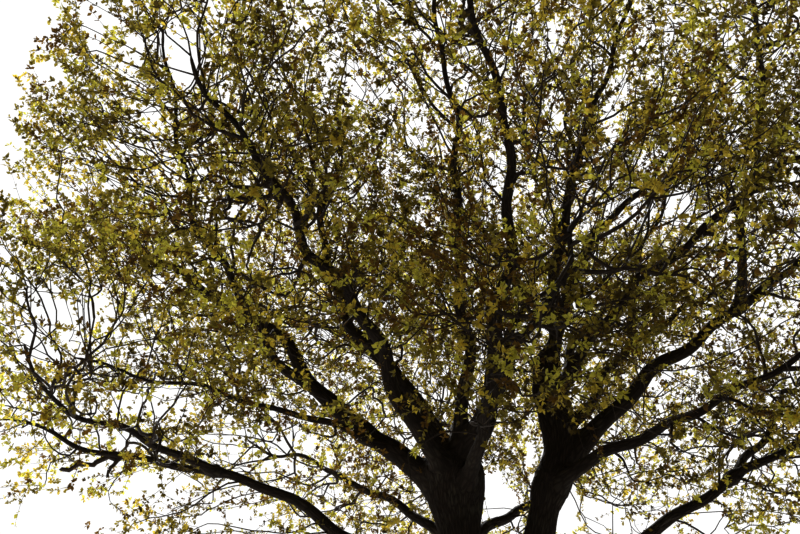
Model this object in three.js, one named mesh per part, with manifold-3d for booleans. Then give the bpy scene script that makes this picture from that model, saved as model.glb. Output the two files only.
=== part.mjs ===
// An old open-grown oak in spring leaf. One trunk forks low into two stems, the stems carry long
// crooked boughs, and each bough ends in a mass of leafy twigs. Millimetres, +Z up, and the origin
// is the middle of the flat cut where the trunk meets the ground.
import * as THREE from 'three';
import { mergeVertices } from 'three/addons/utils/BufferGeometryUtils.js';
import Module from 'manifold-3d';

const wasm = await Module();
wasm.setup();

// The crown: how high it reaches, how wide it is at its widest, and the hollow under it.
const CROWN_TOP = 16600;
const CROWN_RADIUS = 9900;
const CROWN_WIDEST_AT = 8000;
const CROWN_DOME_POWER = 2.3;
const UNDERSIDE_STRETCH = 3;
const SKIRT_EDGE = 3500;
const SKIRT_MIDDLE = 4600;

// The trunk, from the flat cut at the ground to the fork.
const TRUNK = {
  height: 2050, foot: 560, waist: 500, lean: 80, leanFrom: 0.12,
  flare: 330, flareHeight: 420, lobes: 5, lobeDepth: 0.16, lobeTurn: 0.7, lobeFade: 0.6,
  domeFrom: 1500, sides: 20, rings: 9,
};

// The two stems that the trunk forks into. A limb leaves its parent at a share of the parent's
// length, runs on a compass bearing (0 is +X, 90 is +Y) for a level reach and a rise, and bows by
// arch in its own upright plane and by bow to its left. foot and tip are its radii.
const STEMS = [
  {
    name: 'stem_left', on: 'trunk', at: 0.62, foot: 385, tip: 330, swell: 0.42,
    bearing: 180, reach: 780, rise: 3250, arch: -270, bow: 0,
  },
  {
    name: 'stem_right', on: 'trunk', at: 0.64, foot: 300, tip: 205, swell: 0.1,
    bearing: 12, reach: 1060, rise: 5100, arch: -330, bow: 0,
  },
];

const BOUGHS = [
  // The boughs of the left stem.
  {
    name: 'long_arch', on: 'stem_left', at: 0.75, foot: 250, tip: 48,
    bearing: 172, reach: 7700, rise: 6000, arch: 260, bow: -70,
  },
  {
    name: 'level_left', on: 'long_arch', at: 0.15, foot: 92, tip: 34,
    bearing: 206, reach: 5700, rise: 1100, arch: 60, bow: 0,
  },
  {
    name: 'rising_left', on: 'long_arch', at: 0.22, foot: 135, tip: 36,
    bearing: 222, reach: 4900, rise: 6500, arch: -800, bow: -500,
  },
  {
    name: 'front_left', on: 'stem_left', at: 0.86, foot: 205, tip: 42,
    bearing: 243, reach: 7900, rise: 4000, arch: 480, bow: -350,
  },
  {
    name: 'inner_left', on: 'stem_left', at: 0.9, foot: 185, tip: 40,
    bearing: 150, reach: 4500, rise: 10100, arch: -550, bow: 60,
  },
  {
    name: 'outer_top', on: 'inner_left', at: 0.62, foot: 88, tip: 34,
    bearing: 195, reach: 3700, rise: 2500, arch: 500, bow: 90,
  },
  {
    name: 'tall_front', on: 'stem_left', at: 0.9, foot: 150, tip: 38,
    bearing: 262, reach: 3500, rise: 9800, arch: 60, bow: 230,
  },
  {
    name: 'centre_front', on: 'stem_left', at: 0.94, foot: 190, tip: 42,
    bearing: 262, reach: 7500, rise: 6000, arch: 300, bow: 1300,
  },
  {
    name: 'crossing', on: 'stem_left', at: 0.84, foot: 140, tip: 38,
    bearing: 42, reach: 3700, rise: 11100, arch: -900, bow: -500,
  },
  {
    name: 'low_left', on: 'stem_left', at: 0.31, foot: 180, tip: 44,
    bearing: 190, reach: 7800, rise: 2650, arch: 130, bow: -30,
  },
  {
    name: 'low_left_fork', on: 'low_left', at: 0.58, foot: 92, tip: 34,
    bearing: 246, reach: 4600, rise: 900, arch: -110, bow: -350,
  },
  {
    name: 'shy_left', on: 'stem_left', at: 0.48, foot: 120, tip: 36,
    bearing: 136, reach: 6600, rise: 2900, arch: 230, bow: -150,
  },
  {
    name: 'behind_right', on: 'stem_left', at: 0.5, foot: 130, tip: 38,
    bearing: 53, reach: 7600, rise: 3000, arch: 150, bow: 230,
  },
  {
    name: 'low_front', on: 'stem_left', at: 0.76, foot: 170, tip: 40,
    bearing: 279, reach: 7000, rise: 2300, arch: 350, bow: 200,
  },
  {
    name: 'back_left', on: 'stem_left', at: 0.88, foot: 185, tip: 42,
    bearing: 122, reach: 6900, rise: 5400, arch: 400, bow: 250,
  },
  {
    name: 'back_middle', on: 'stem_left', at: 0.74, foot: 175, tip: 42,
    bearing: 93, reach: 7700, rise: 3100, arch: 450, bow: -250,
  },
  // The boughs of the right stem.
  {
    name: 'right_leader', on: 'stem_right', at: 0.86, foot: 160, tip: 40,
    bearing: 303, reach: 3300, rise: 8200, arch: 230, bow: -50,
  },
  {
    name: 'right_rising', on: 'right_leader', at: 0.14, foot: 130, tip: 38,
    bearing: 17, reach: 5000, rise: 6200, arch: 400, bow: 160,
  },
  {
    name: 'right_middle', on: 'stem_right', at: 0.7, foot: 150, tip: 40,
    bearing: 31, reach: 6300, rise: 4500, arch: 330, bow: 190,
  },
  {
    name: 'right_inner', on: 'right_middle', at: 0.42, foot: 92, tip: 34,
    bearing: 335, reach: 1500, rise: 4000, arch: 300, bow: -100,
  },
  {
    name: 'right_strong', on: 'stem_right', at: 0.52, foot: 225, tip: 46,
    bearing: 2, reach: 7400, rise: 5900, arch: 350, bow: 0,
  },
  {
    name: 'right_upright', on: 'right_strong', at: 0.54, foot: 115, tip: 36,
    bearing: 256, reach: 6500, rise: 4700, arch: 60, bow: 200,
  },
  {
    name: 'right_level', on: 'stem_right', at: 0.5, foot: 150, tip: 38,
    bearing: 308, reach: 6500, rise: 1500, arch: 260, bow: 0,
  },
  {
    name: 'right_front', on: 'stem_right', at: 0.82, foot: 150, tip: 38,
    bearing: 311, reach: 7300, rise: 3700, arch: 350, bow: -250,
  },
  {
    name: 'low_right', on: 'stem_right', at: 0.16, foot: 178, tip: 44,
    bearing: 349, reach: 7500, rise: 3000, arch: 330, bow: -30,
  },
  {
    name: 'low_right_fork', on: 'low_right', at: 0.5, foot: 100, tip: 34,
    bearing: 43, reach: 5100, rise: 2900, arch: 120, bow: 90,
  },
  {
    name: 'back_right', on: 'stem_right', at: 0.76, foot: 165, tip: 40,
    bearing: 66, reach: 6900, rise: 5200, arch: 420, bow: -200,
  },
  {
    name: 'back_high', on: 'crossing', at: 0.36, foot: 95, tip: 34,
    bearing: 112, reach: 4700, rise: 6300, arch: 200, bow: 200,
  },
];

// How every limb is shaped.
const BARE_SHARE = 0.74; // the part of a bough's line that stands clear of its mass
const CROOK = 0.014; // how far a limb wanders from its line, as a share of its length
const CROOK_WAVES = [2, 3, 5];
const COLLAR = 0.32; // how much a limb widens where it leaves its parent
const COLLAR_LENGTH = 2.4; // in radii of its foot
const SWELL_AT = 0.85; // where a stem is stoutest, under its boughs
const SWELL_WIDTH = 0.16;
const DOME_SHARE = 0.12; // the closing end of a stem
const DOME_LEAST = 0.24; // the flat left at a dome's top, as a share of its width
const TAPER_POWER = 0.85;
const THICK_BOUGH = 160; // boughs with a foot this wide have more sides
const SIDES = { stem: 11, thick: 7, thin: 6 };
const RING_SPACING = 1150;
const LEAST_RINGS = 4;
const STEM_EXTRA_RINGS = 4;
const LENGTH_STEPS = 24;
const SEAT_GAP = 0.3;

// How every mass of leaves is grown. A spray is one broad blade that stands for many leaves.
const MASS_RADIUS = 3300;
const MASS_STEM_SHARES = [BARE_SHARE, 0.83, 0.92, 1];
const MASS_STEM_TIP = 26;
const MASS_STEM_FIT = 0.94; // a mass's stem starts a little slimmer than its bough's tip
const MASS_STEM_OVERLAP = 0.005; // in shares of the line, before it is cut clear of the bough
const MASS_STEM_SIDES = 5;
const TWIGS_PER_MASS = 14;
const TRIES_PER_TWIG = 12;
const GOLDEN_TURN = Math.PI * (3 - Math.sqrt(5));
const GOLDEN_STEP = 0.618;
const HOLLOW_SHARE = 0.12; // of a mass's volume that has no twig points, at its middle
const SPRAY = { length: 1500, width: 920, thickness: 66, widest: 0.55 };
const SPRAY_SCALES = [1, 0.86, 0.74, 0.62, 0.5];
const SPRAY_TURNS = 8;
const SPRAY_AIM = { outward: 0.9, onward: 0.6, stray: 0.8, strayGain: 0.3 };
const ROOT = 9; // a twig or spray starts this thin, inside what bears it
const TWIG_TIP = 20;
const TWIG_GAIN = 8; // what each spray beyond a twig adds to the twig's radius
const TWIG_SEAT = 0.25; // twigs and sprays leave this far before a node, as a share of the way to it
const SPRAY_SEAT = 0.5;
const SPRAY_NECK = 0.12; // beyond this share of its length a spray touches nothing
const TWIG_SPACE = 0.64; // twigs keep to this share of the mass's radius, and sprays stand out of them
const PATH_WEIGHT = 0.35;
const LEAST_SPACING = 870;
const TWIG_MARGIN = 60;
const SPRAY_MARGIN = 15;
const CLEARANCE = 12; // between anything in a mass and the limbs
const SEED = 20117;

const BARK = { color: 0x3a3029, roughness: 0.95, metalness: 0 };
const LEAF = { color: 0x8f8a2c, roughness: 0.7, metalness: 0 };
const UP = new THREE.Vector3(0, 0, 1);

// A repeatable source of numbers from 0 to 1.
function seeded(seed) {
  let state = seed >>> 0;
  return () => {
    state = (state + 0x6d2b79f5) >>> 0;
    let mixed = Math.imul(state ^ (state >>> 15), state | 1);
    mixed ^= mixed + Math.imul(mixed ^ (mixed >>> 7), mixed | 61);
    return ((mixed ^ (mixed >>> 14)) >>> 0) / 4294967296;
  };
}

function solidFrom(geometry) {
  geometry.deleteAttribute('normal');
  geometry.deleteAttribute('uv');
  const merged = mergeVertices(geometry, 1e-2);
  const faces = [];
  for (let i = 0; i < merged.index.count; i += 3) {
    const [a, b, c] = [0, 1, 2].map((k) => merged.index.getX(i + k));
    if (a !== b && b !== c && c !== a) faces.push(a, b, c);
  }
  return new wasm.Manifold(new wasm.Mesh({
    numProp: 3,
    vertProperties: merged.attributes.position.array,
    triVerts: new Uint32Array(faces),
  }));
}

function largestBody(solid) {
  const bodies = solid.decompose();
  return bodies.reduce((best, body) => (body.volume() > best.volume() ? body : best));
}

function meshOf(name, solid, look) {
  const made = solid.getMesh();
  const geometry = new THREE.BufferGeometry();
  geometry.setAttribute('position', new THREE.BufferAttribute(new Float32Array(made.vertProperties), 3));
  geometry.setIndex(new THREE.BufferAttribute(new Uint32Array(made.triVerts), 1));
  geometry.computeVertexNormals();
  const mesh = new THREE.Mesh(geometry, new THREE.MeshStandardMaterial(look));
  mesh.name = name;
  return mesh;
}

// A limb's line turns a share of its length, 0 to 1, into a point.
function limbLine(limb, start, seed) {
  const random = seeded(seed);
  const bearing = THREE.MathUtils.degToRad(limb.bearing);
  const out = new THREE.Vector3(Math.cos(bearing), Math.sin(bearing), 0);
  const side = new THREE.Vector3(-out.y, out.x, 0);
  const chord = out.clone().multiplyScalar(limb.reach).addScaledVector(UP, limb.rise);
  const over = new THREE.Vector3().crossVectors(chord, side).normalize();
  const waves = CROOK_WAVES.map((count) => ({
    count,
    size: (CROOK * chord.length() * 2) / count,
    overPhase: random() * 2 * Math.PI,
    sidePhase: random() * 2 * Math.PI,
  }));
  return (share) => {
    const hump = Math.sin(Math.PI * Math.min(share, 1));
    const settle = Math.min(1, share * 4);
    const point = start.clone().addScaledVector(chord, share);
    point.addScaledVector(over, limb.arch * hump);
    point.addScaledVector(side, limb.bow * hump);
    for (const wave of waves) {
      const turn = Math.PI * wave.count * share;
      point.addScaledVector(over, settle * wave.size * Math.sin(turn + wave.overPhase));
      point.addScaledVector(side, settle * wave.size * Math.sin(turn + wave.sidePhase));
    }
    return point;
  };
}

function lengthOf(line) {
  let total = 0;
  for (let step = 1; step <= LENGTH_STEPS; step += 1) {
    total += line(step / LENGTH_STEPS).distanceTo(line((step - 1) / LENGTH_STEPS));
  }
  return total;
}

// Bends a closed unit cylinder through points. sizeAt gives the two half sizes of each ring, and
// flat is the way the first of them points at the far end.
function rod(points, sides, sizeAt, flat) {
  const last = points.length - 1;
  const frames = [];
  let across = flat;
  for (let ring = last; ring >= 0; ring -= 1) {
    const before = points[Math.max(0, ring - 1)];
    const after = points[Math.min(last, ring + 1)];
    const ahead = after.clone().sub(before).normalize();
    across = across.clone().addScaledVector(ahead, -across.dot(ahead)).normalize();
    frames[ring] = { across, round: new THREE.Vector3().crossVectors(ahead, across) };
  }
  const tube = new THREE.CylinderGeometry(1, 1, 1, sides, last);
  const place = tube.attributes.position;
  for (let i = 0; i < place.count; i += 1) {
    const ring = Math.round((place.getY(i) + 0.5) * last);
    const [x, z] = [place.getX(i), -place.getZ(i)];
    const rim = Math.hypot(x, z) < 0.5 ? 0 : 1;
    const angle = Math.atan2(z, x);
    const [wide, deep] = sizeAt(ring, angle);
    const point = points[ring].clone();
    point.addScaledVector(frames[ring].across, rim * wide * Math.cos(angle));
    point.addScaledVector(frames[ring].round, rim * deep * Math.sin(angle));
    place.setXYZ(i, point.x, point.y, point.z);
  }
  return solidFrom(tube);
}

// A round limb along a line from its start to a share of it, grown by a hair on every side.
function sweep(line, end, radiusAt, sides, rings, grow) {
  const shares = Array.from({ length: rings + 1 }, (_, ring) => (end * ring) / rings);
  const points = shares.map(line);
  const [first, second] = points;
  const [beforeLast, last] = points.slice(-2);
  first.addScaledVector(second.clone().sub(first).normalize(), -grow);
  last.addScaledVector(last.clone().sub(beforeLast).normalize(), grow);
  const size = (ring, angle) => {
    const radius = radiusAt(shares[ring], angle) + grow;
    return [radius, radius];
  };
  return rod(points, sides, size, new THREE.Vector3(1, 0.2, 0.1));
}

// How much of its width a closing end still has, from 0 at the dome's foot to 1 at its top.
function domeWidth(intoDome) {
  return Math.max(DOME_LEAST, Math.sqrt(1 - intoDome * intoDome));
}

function limbRadius(limb, length, isStem) {
  return (share) => {
    const taper = limb.foot + (limb.tip - limb.foot) * Math.pow(share, TAPER_POWER);
    const collar = 1 + COLLAR * Math.exp((-share * length) / (COLLAR_LENGTH * limb.foot));
    if (!isStem) return taper * collar;
    const swell = 1 + limb.swell * Math.exp(-(((share - SWELL_AT) / SWELL_WIDTH) ** 2));
    const intoDome = Math.max(0, (share - (1 - DOME_SHARE)) / DOME_SHARE);
    return taper * collar * swell * domeWidth(intoDome);
  };
}

// The trunk has a root flare with blunt lobes, and closes in a dome inside the fork.
function trunkRadius(share, angle) {
  const height = share * TRUNK.height;
  const fade = Math.exp(-height / TRUNK.flareHeight);
  const lobeSize = TRUNK.lobeDepth * Math.pow(fade, TRUNK.lobeFade);
  const lobes = 1 + lobeSize * Math.cos(TRUNK.lobes * angle + TRUNK.lobeTurn);
  const taper = TRUNK.foot + (TRUNK.waist - TRUNK.foot) * Math.min(1, height / TRUNK.domeFrom);
  const intoDome = Math.max(0, (height - TRUNK.domeFrom) / (TRUNK.height - TRUNK.domeFrom));
  return (taper + TRUNK.flare * fade) * lobes * domeWidth(intoDome);
}

// Every limb in turn is cut clear of those made before it, by a hair.
function makeLimbs() {
  const made = new Map();
  const lean = (share) => TRUNK.lean * Math.max(0, share - TRUNK.leanFrom) ** 2;
  const rise = (share) => new THREE.Vector3(lean(share), 0, share * TRUNK.height);
  const trunkShape = (grow) => sweep(rise, 1, trunkRadius, TRUNK.sides, TRUNK.rings, grow);
  made.set('trunk', { name: 'trunk', line: rise, solid: trunkShape(0), grown: trunkShape(SEAT_GAP) });
  [...STEMS, ...BOUGHS].forEach((limb, index) => {
    const isStem = STEMS.includes(limb);
    const line = limbLine(limb, made.get(limb.on).line(limb.at), SEED + index);
    const length = lengthOf(line);
    const radius = limbRadius(limb, length, isStem);
    const end = isStem ? 1 : BARE_SHARE;
    const boughSides = limb.foot >= THICK_BOUGH ? SIDES.thick : SIDES.thin;
    const sides = isStem ? SIDES.stem : boughSides;
    const longRings = Math.max(LEAST_RINGS, Math.round((length * end) / RING_SPACING));
    const rings = longRings + (isStem ? STEM_EXTRA_RINGS : 0);
    const shape = (grow) => sweep(line, end, radius, sides, rings, grow);
    let solid = shape(0);
    for (const other of made.values()) solid = solid.subtract(other.grown);
    const name = isStem ? limb.name : `bough_${limb.name}`;
    made.set(limb.name, { name, line, radius, solid: largestBody(solid), grown: shape(SEAT_GAP) });
  });
  return made;
}

// The crown is a broad dome over an open hollow round the stems.
function crownAllows(point) {
  const across = Math.hypot(point.x, point.y);
  const skirt = SKIRT_MIDDLE + (SKIRT_EDGE - SKIRT_MIDDLE) * Math.min(1, across / CROWN_RADIUS);
  if (point.z < skirt) return false;
  const above = point.z > CROWN_WIDEST_AT;
  const span = above ? CROWN_TOP - CROWN_WIDEST_AT : CROWN_WIDEST_AT * UNDERSIDE_STRETCH;
  const lift = Math.min(1, Math.abs(point.z - CROWN_WIDEST_AT) / span);
  return across < CROWN_RADIUS * Math.pow(1 - Math.pow(lift, CROWN_DOME_POWER), 1 / CROWN_DOME_POWER);
}

// A mass keeps to the part of the crown that is nearer to its own centre than to any other's.
function massAllows(mass, masses, point, margin) {
  const own = point.distanceTo(mass.centre);
  if (own > MASS_RADIUS || !crownAllows(point)) return false;
  return masses.every((other) => {
    if (other === mass) return true;
    const apart = other.centre.distanceTo(mass.centre);
    return (point.distanceToSquared(other.centre) - own * own) / (2 * apart) > margin;
  });
}

// The stem of a mass runs on along its bough's line. It is made a little too long and then cut
// a hair clear of the bough's tip.
function massStem(bough) {
  const foot = bough.radius(BARE_SHARE) * MASS_STEM_FIT;
  const nodes = [];
  MASS_STEM_SHARES.forEach((share, i) => {
    const parent = nodes[i - 1] || null;
    const point = bough.line(share);
    const path = parent ? parent.path + parent.point.distanceTo(point) : 0;
    nodes.push({ point, parent, path, children: [], load: 1 });
  });
  const points = nodes.map((node) => node.point);
  points[0] = bough.line(BARE_SHARE - MASS_STEM_OVERLAP);
  const size = (ring) => {
    const half = foot + ((MASS_STEM_TIP - foot) * ring) / (nodes.length - 1);
    return [half, half];
  };
  const solid = rod(points, MASS_STEM_SIDES, size, UP).subtract(bough.grown);
  return { nodes, solid: largestBody(solid) };
}

// Points spread evenly through a mass's space, the nearest to its bough's tip first.
function growingPoints(mass, masses, random, stem) {
  const found = [];
  const tries = TRIES_PER_TWIG * TWIGS_PER_MASS;
  for (let k = 0; k < tries && found.length < TWIGS_PER_MASS; k += 1) {
    const height = 2 * ((k * GOLDEN_STEP) % 1) - 1;
    const level = Math.sqrt(1 - height * height);
    const turn = GOLDEN_TURN * k + random();
    const out = MASS_RADIUS * TWIG_SPACE * Math.cbrt(HOLLOW_SHARE + (1 - HOLLOW_SHARE) * random());
    const point = new THREE.Vector3(level * Math.cos(turn), level * Math.sin(turn), height);
    point.multiplyScalar(out).add(mass.centre);
    if (!massAllows(mass, masses, point, TWIG_MARGIN)) continue;
    const taken = [...found, ...stem.map((node) => node.point)];
    if (taken.every((old) => old.distanceTo(point) >= LEAST_SPACING)) found.push(point);
  }
  return found.sort((a, b) => a.distanceTo(stem[0].point) - b.distanceTo(stem[0].point));
}

// Joins each point to the twig node that is near it and has a short way back to the bough.
function joinPoints(points, nodes) {
  for (const point of points) {
    let best = null;
    let least = Infinity;
    for (const node of nodes) {
      const cost = node.point.distanceTo(point) + PATH_WEIGHT * node.path;
      if (cost < least) [best, least] = [node, cost];
    }
    const path = best.path + best.point.distanceTo(point);
    const node = { point, parent: best, path, children: [], load: 1 };
    best.children.push(node);
    nodes.push(node);
    for (let up = best; up; up = up.parent) up.load += 1;
  }
}

// The ways that a spray may stand at a node, the largest and the most outward first.
function sprayChoices(mass, node, base, random) {
  const outward = node.point.clone().sub(mass.centre).normalize();
  const onward = node.point.clone().sub(node.parent.point).normalize();
  const choices = [];
  for (const scale of SPRAY_SCALES) {
    for (let turn = 0; turn < SPRAY_TURNS; turn += 1) {
      const stray = new THREE.Vector3(random() - 0.5, random() - 0.5, random() - 0.5);
      const along = outward.clone().multiplyScalar(SPRAY_AIM.outward);
      along.addScaledVector(onward, SPRAY_AIM.onward);
      along.addScaledVector(stray, SPRAY_AIM.stray + SPRAY_AIM.strayGain * turn).normalize();
      const tilt = new THREE.Vector3(random() - 0.5, random() - 0.5, random());
      const flat = tilt.addScaledVector(along, -tilt.dot(along)).normalize();
      const side = new THREE.Vector3().crossVectors(along, flat);
      const length = SPRAY.length * scale;
      const middle = base.clone().addScaledVector(along, length * SPRAY.widest);
      choices.push({
        flat,
        neck: base.clone().addScaledVector(along, length * SPRAY_NECK),
        wide: (SPRAY.thickness * scale) / 1.5,
        deep: (SPRAY.width * scale) / Math.sqrt(3),
        middle,
        tip: base.clone().addScaledVector(along, length),
        edges: [1, -1].map((way) => middle.clone().addScaledVector(side, (way * SPRAY.width * scale) / 2)),
      });
    }
  }
  return choices;
}

function seatBefore(node, share) {
  return node.point.clone().lerp(node.parent.point, share);
}

// A three-sided tapering twig through its nodes. When a spray is given, the twig ends in it.
function twigSolid(path, spray) {
  const radii = path.map((node) => TWIG_TIP + TWIG_GAIN * Math.sqrt(node.load - 1));
  const sizes = radii.map((radius) => [radius, radius]);
  sizes[0] = [ROOT, ROOT];
  const points = [seatBefore(path[0], TWIG_SEAT), ...path.slice(1).map((node) => node.point)];
  if (spray) {
    points.push(spray.middle, spray.tip);
    sizes.push([spray.wide, spray.deep], [0, 0]);
  }
  return rod(points, 3, (ring) => sizes[ring], spray ? spray.flat : UP);
}

// A spray on the side of a twig has a short stalk that starts inside the twig.
function spraySolid(base, spray) {
  const sizes = [[ROOT, ROOT], [ROOT, ROOT], [spray.wide, spray.deep], [0, 0]];
  return rod([base, spray.neck, spray.middle, spray.tip], 3, (ring) => sizes[ring], spray.flat);
}

function sprayBeyondNeck(spray) {
  const sizes = [[ROOT, ROOT], [spray.wide, spray.deep], [0, 0]];
  return rod([spray.neck, spray.middle, spray.tip], 3, (ring) => sizes[ring], spray.flat);
}

// Cuts the grown nodes into twigs. Each runs on into the child that carries most.
function twigPaths(stem) {
  const paths = [];
  const branchesOf = (node) => node.children.filter((child) => !stem.includes(child));
  const starts = stem.flatMap((node) => branchesOf(node).map((child) => [node, child]));
  while (starts.length) {
    const path = starts.shift();
    for (let tip = path[1]; tip.children.length;) {
      const [heir, ...rest] = [...tip.children].sort((a, b) => b.load - a.load);
      rest.forEach((child) => starts.push([tip, child]));
      path.push(heir);
      tip = heir;
    }
    paths.push(path);
  }
  return paths;
}

function growMass(mass, masses, obstacles) {
  const random = seeded(mass.seed);
  const stem = mass.stem.nodes;
  const nodes = stem.slice(1);
  joinPoints(growingPoints(mass, masses, random, stem), nodes);

  const isClear = (solid) => obstacles.minGap(solid, CLEARANCE) >= CLEARANCE;
  const standing = new Set(stem);
  const paths = [];
  for (const path of twigPaths(stem)) {
    if (!standing.has(path[0]) || !isClear(twigSolid(path, null))) continue;
    path.slice(1).forEach((node) => standing.add(node));
    paths.push(path);
  }
  const bare = wasm.Manifold.union([mass.stem.solid, ...paths.map((path) => twigSolid(path, null))]);

  // A spray is kept where all of it is clear of other parts, and its outer part also keeps off
  // the twigs and sprays of its own mass.
  const blades = [];
  const withSpray = (node, base, shapeOf) => {
    for (const spray of sprayChoices(mass, node, base, random)) {
      const outline = [spray.tip, ...spray.edges];
      if (!outline.every((point) => massAllows(mass, masses, point, SPRAY_MARGIN))) continue;
      const blade = sprayBeyondNeck(spray);
      if (bare.minGap(blade, 1) < 1 || blades.some((other) => other.minGap(blade, 1) < 1)) continue;
      const shape = shapeOf(spray);
      if (!isClear(shape)) continue;
      blades.push(blade);
      return shape;
    }
    return null;
  };

  const parts = [mass.stem.solid];
  for (const path of paths) {
    const end = path[path.length - 1];
    parts.push(withSpray(end, end.point, (spray) => twigSolid(path, spray)) || twigSolid(path, null));
  }
  for (const node of [...stem.slice(1), ...paths.flatMap((path) => path.slice(1, -1))]) {
    const base = seatBefore(node, SPRAY_SEAT);
    const shape = withSpray(node, base, (spray) => spraySolid(base, spray));
    if (shape) parts.push(shape);
  }
  return largestBody(wasm.Manifold.union(parts));
}

const limbs = makeLimbs();
const wood = wasm.Manifold.union([...limbs.values()].map((limb) => limb.solid));
const masses = BOUGHS.map((limb, index) => {
  const bough = limbs.get(limb.name);
  const stem = massStem(bough);
  return { name: `leaves_${limb.name}`, centre: bough.line(1), stem, seed: SEED * 3 + index };
});

const tree = new THREE.Group();
for (const limb of limbs.values()) tree.add(meshOf(limb.name, limb.solid, BARK));
masses.forEach((mass, index) => {
  const stemsToCome = masses.slice(index + 1).map((other) => other.stem.solid);
  const grown = masses.slice(0, index).map((other) => other.solid);
  mass.solid = growMass(mass, masses, wasm.Manifold.union([wood, ...grown, ...stemsToCome]));
  tree.add(meshOf(mass.name, mass.solid, LEAF));
});

export default tree;
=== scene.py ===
"""An old open-grown oak in young spring leaf, dressed round its solids.

One trunk forks low into two stems, the stems carry long crooked boughs, and every bough breaks up
into branches, twigs and sprays of small lobed leaves. Metres, +Z up, and the origin is the middle
of the flat cut at the ground.
"""

from functools import lru_cache
from math import cos, pi, radians, sin, sqrt
from typing import NamedTuple

import bmesh
import bpy
import numpy as np
from bpy.props import FloatProperty, FloatVectorProperty, IntProperty, PointerProperty
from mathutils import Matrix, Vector, kdtree, noise


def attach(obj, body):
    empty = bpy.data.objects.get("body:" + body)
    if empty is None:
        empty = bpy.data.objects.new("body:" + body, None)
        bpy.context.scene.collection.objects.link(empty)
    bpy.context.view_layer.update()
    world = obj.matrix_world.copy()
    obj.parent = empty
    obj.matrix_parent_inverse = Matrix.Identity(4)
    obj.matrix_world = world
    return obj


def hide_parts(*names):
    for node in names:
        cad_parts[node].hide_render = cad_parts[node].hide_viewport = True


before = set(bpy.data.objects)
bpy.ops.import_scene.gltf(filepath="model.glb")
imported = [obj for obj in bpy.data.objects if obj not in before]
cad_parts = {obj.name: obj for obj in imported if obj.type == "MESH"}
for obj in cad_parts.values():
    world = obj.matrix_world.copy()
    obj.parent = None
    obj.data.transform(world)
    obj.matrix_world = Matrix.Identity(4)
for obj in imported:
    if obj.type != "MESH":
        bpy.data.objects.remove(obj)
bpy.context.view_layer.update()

bl_info = {
    "name": "Open-grown oak",
    "version": (1, 0, 0),
    "blender": (4, 5, 0),
    "location": "3D View > Sidebar > Oak",
    "description": "Grows the bark, branches, twigs and leaves of one oak tree round its limbs",
    "category": "Add Mesh",
}

# The crown: how high it reaches, how wide it is at its widest, and the hollow under it. What
# grows here keeps to the reach of the solids within a leaf's length or two. It is full round the
# boughs, with bays between them and hollows all over.
CROWN_TOP = 16.6
CROWN_RADIUS = 9.9
CROWN_WIDEST_AT = 8.0
CROWN_DOME_POWER = 2.3
UNDERSIDE_STRETCH = 1.05
SKIRT_EDGE = 2.4
SKIRT_MIDDLE = 3.5
SKIRT_WAVE = 0.9
SKIRT_LIFT = 1.6
CROWN_MARGIN = 0.14
NEAR_BOUGH = 1.3
FAR_FROM_BOUGH = 4.4
BAY_DEPTH = 0.4
BAY_WAVE = 0.6
BAY_SPACING = 2.2
HOLLOW_DEPTH = 0.5
HOLLOW_SPACING = 2.7
HOLLOW_FROM = -0.06
HOLLOW_EDGE = 2
HOLLOW_AT_BOUGH = 0.45
OUTSIDE = 9.0

# The trunk, from the flat cut at the ground to the fork.
TRUNK_HEIGHT = 2.05
TRUNK_FOOT = 0.56
TRUNK_WAIST = 0.5
TRUNK_LEAN = 0.08
TRUNK_LEAN_FROM = 0.12
TRUNK_DOME_FROM = 1.5
FLARE = 0.33
FLARE_HEIGHT = 0.42
LOBES = 5
LOBE_DEPTH = 0.16
LOBE_TURN = 0.7
LOBE_FADE = 0.6

# How every limb is shaped.
CROOK = 0.014
CROOK_WAVES = (2, 3, 5)
CROOK_SETS_IN = 0.25
COLLAR = 0.32
COLLAR_LENGTH = 2.4
SWELL_AT = 0.85
SWELL_WIDTH = 0.16
DOME_SHARE = 0.12
DOME_LEAST = 0.24
TAPER_POWER = 0.85
BOUGH_TAPER_POWER = 0.62
BOUGH_TIP_SHARE = 0.62
KINK = 0.042
KINK_LENGTH = 1.2
KINK_OVERTONE = 5 / 3
LENGTH_STEPS = 24
SEED = 20117

# The way up, the way across that a limb's rings start from, and small amounts that keep a
# direction from having no length.
UP = np.array((0.0, 0.0, 1.0))
FIRST_ACROSS = np.array((1.0, 0.2, 0.1))
TINY = 1e-9
OFF_LEVEL = (1e-3, 2e-3, 0)


class Limb(NamedTuple):
    """A limb leaves its parent at a share of the parent's length, runs on a compass bearing for a
    level reach and a rise, and bows by arch in its own upright plane and by bow to its left."""
    name: str
    on: str
    at: float
    foot: float
    tip: float
    bearing: float
    reach: float
    rise: float
    arch: float = 0.0
    bow: float = 0.0
    swell: float = 0.0


STEMS = (
    Limb("stem_left", "trunk", 0.62, 0.385, 0.33, 180, 0.78, 3.25, -0.27, swell=0.42),
    Limb("stem_right", "trunk", 0.64, 0.3, 0.205, 12, 1.06, 5.1, -0.33, swell=0.1),
)

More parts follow.
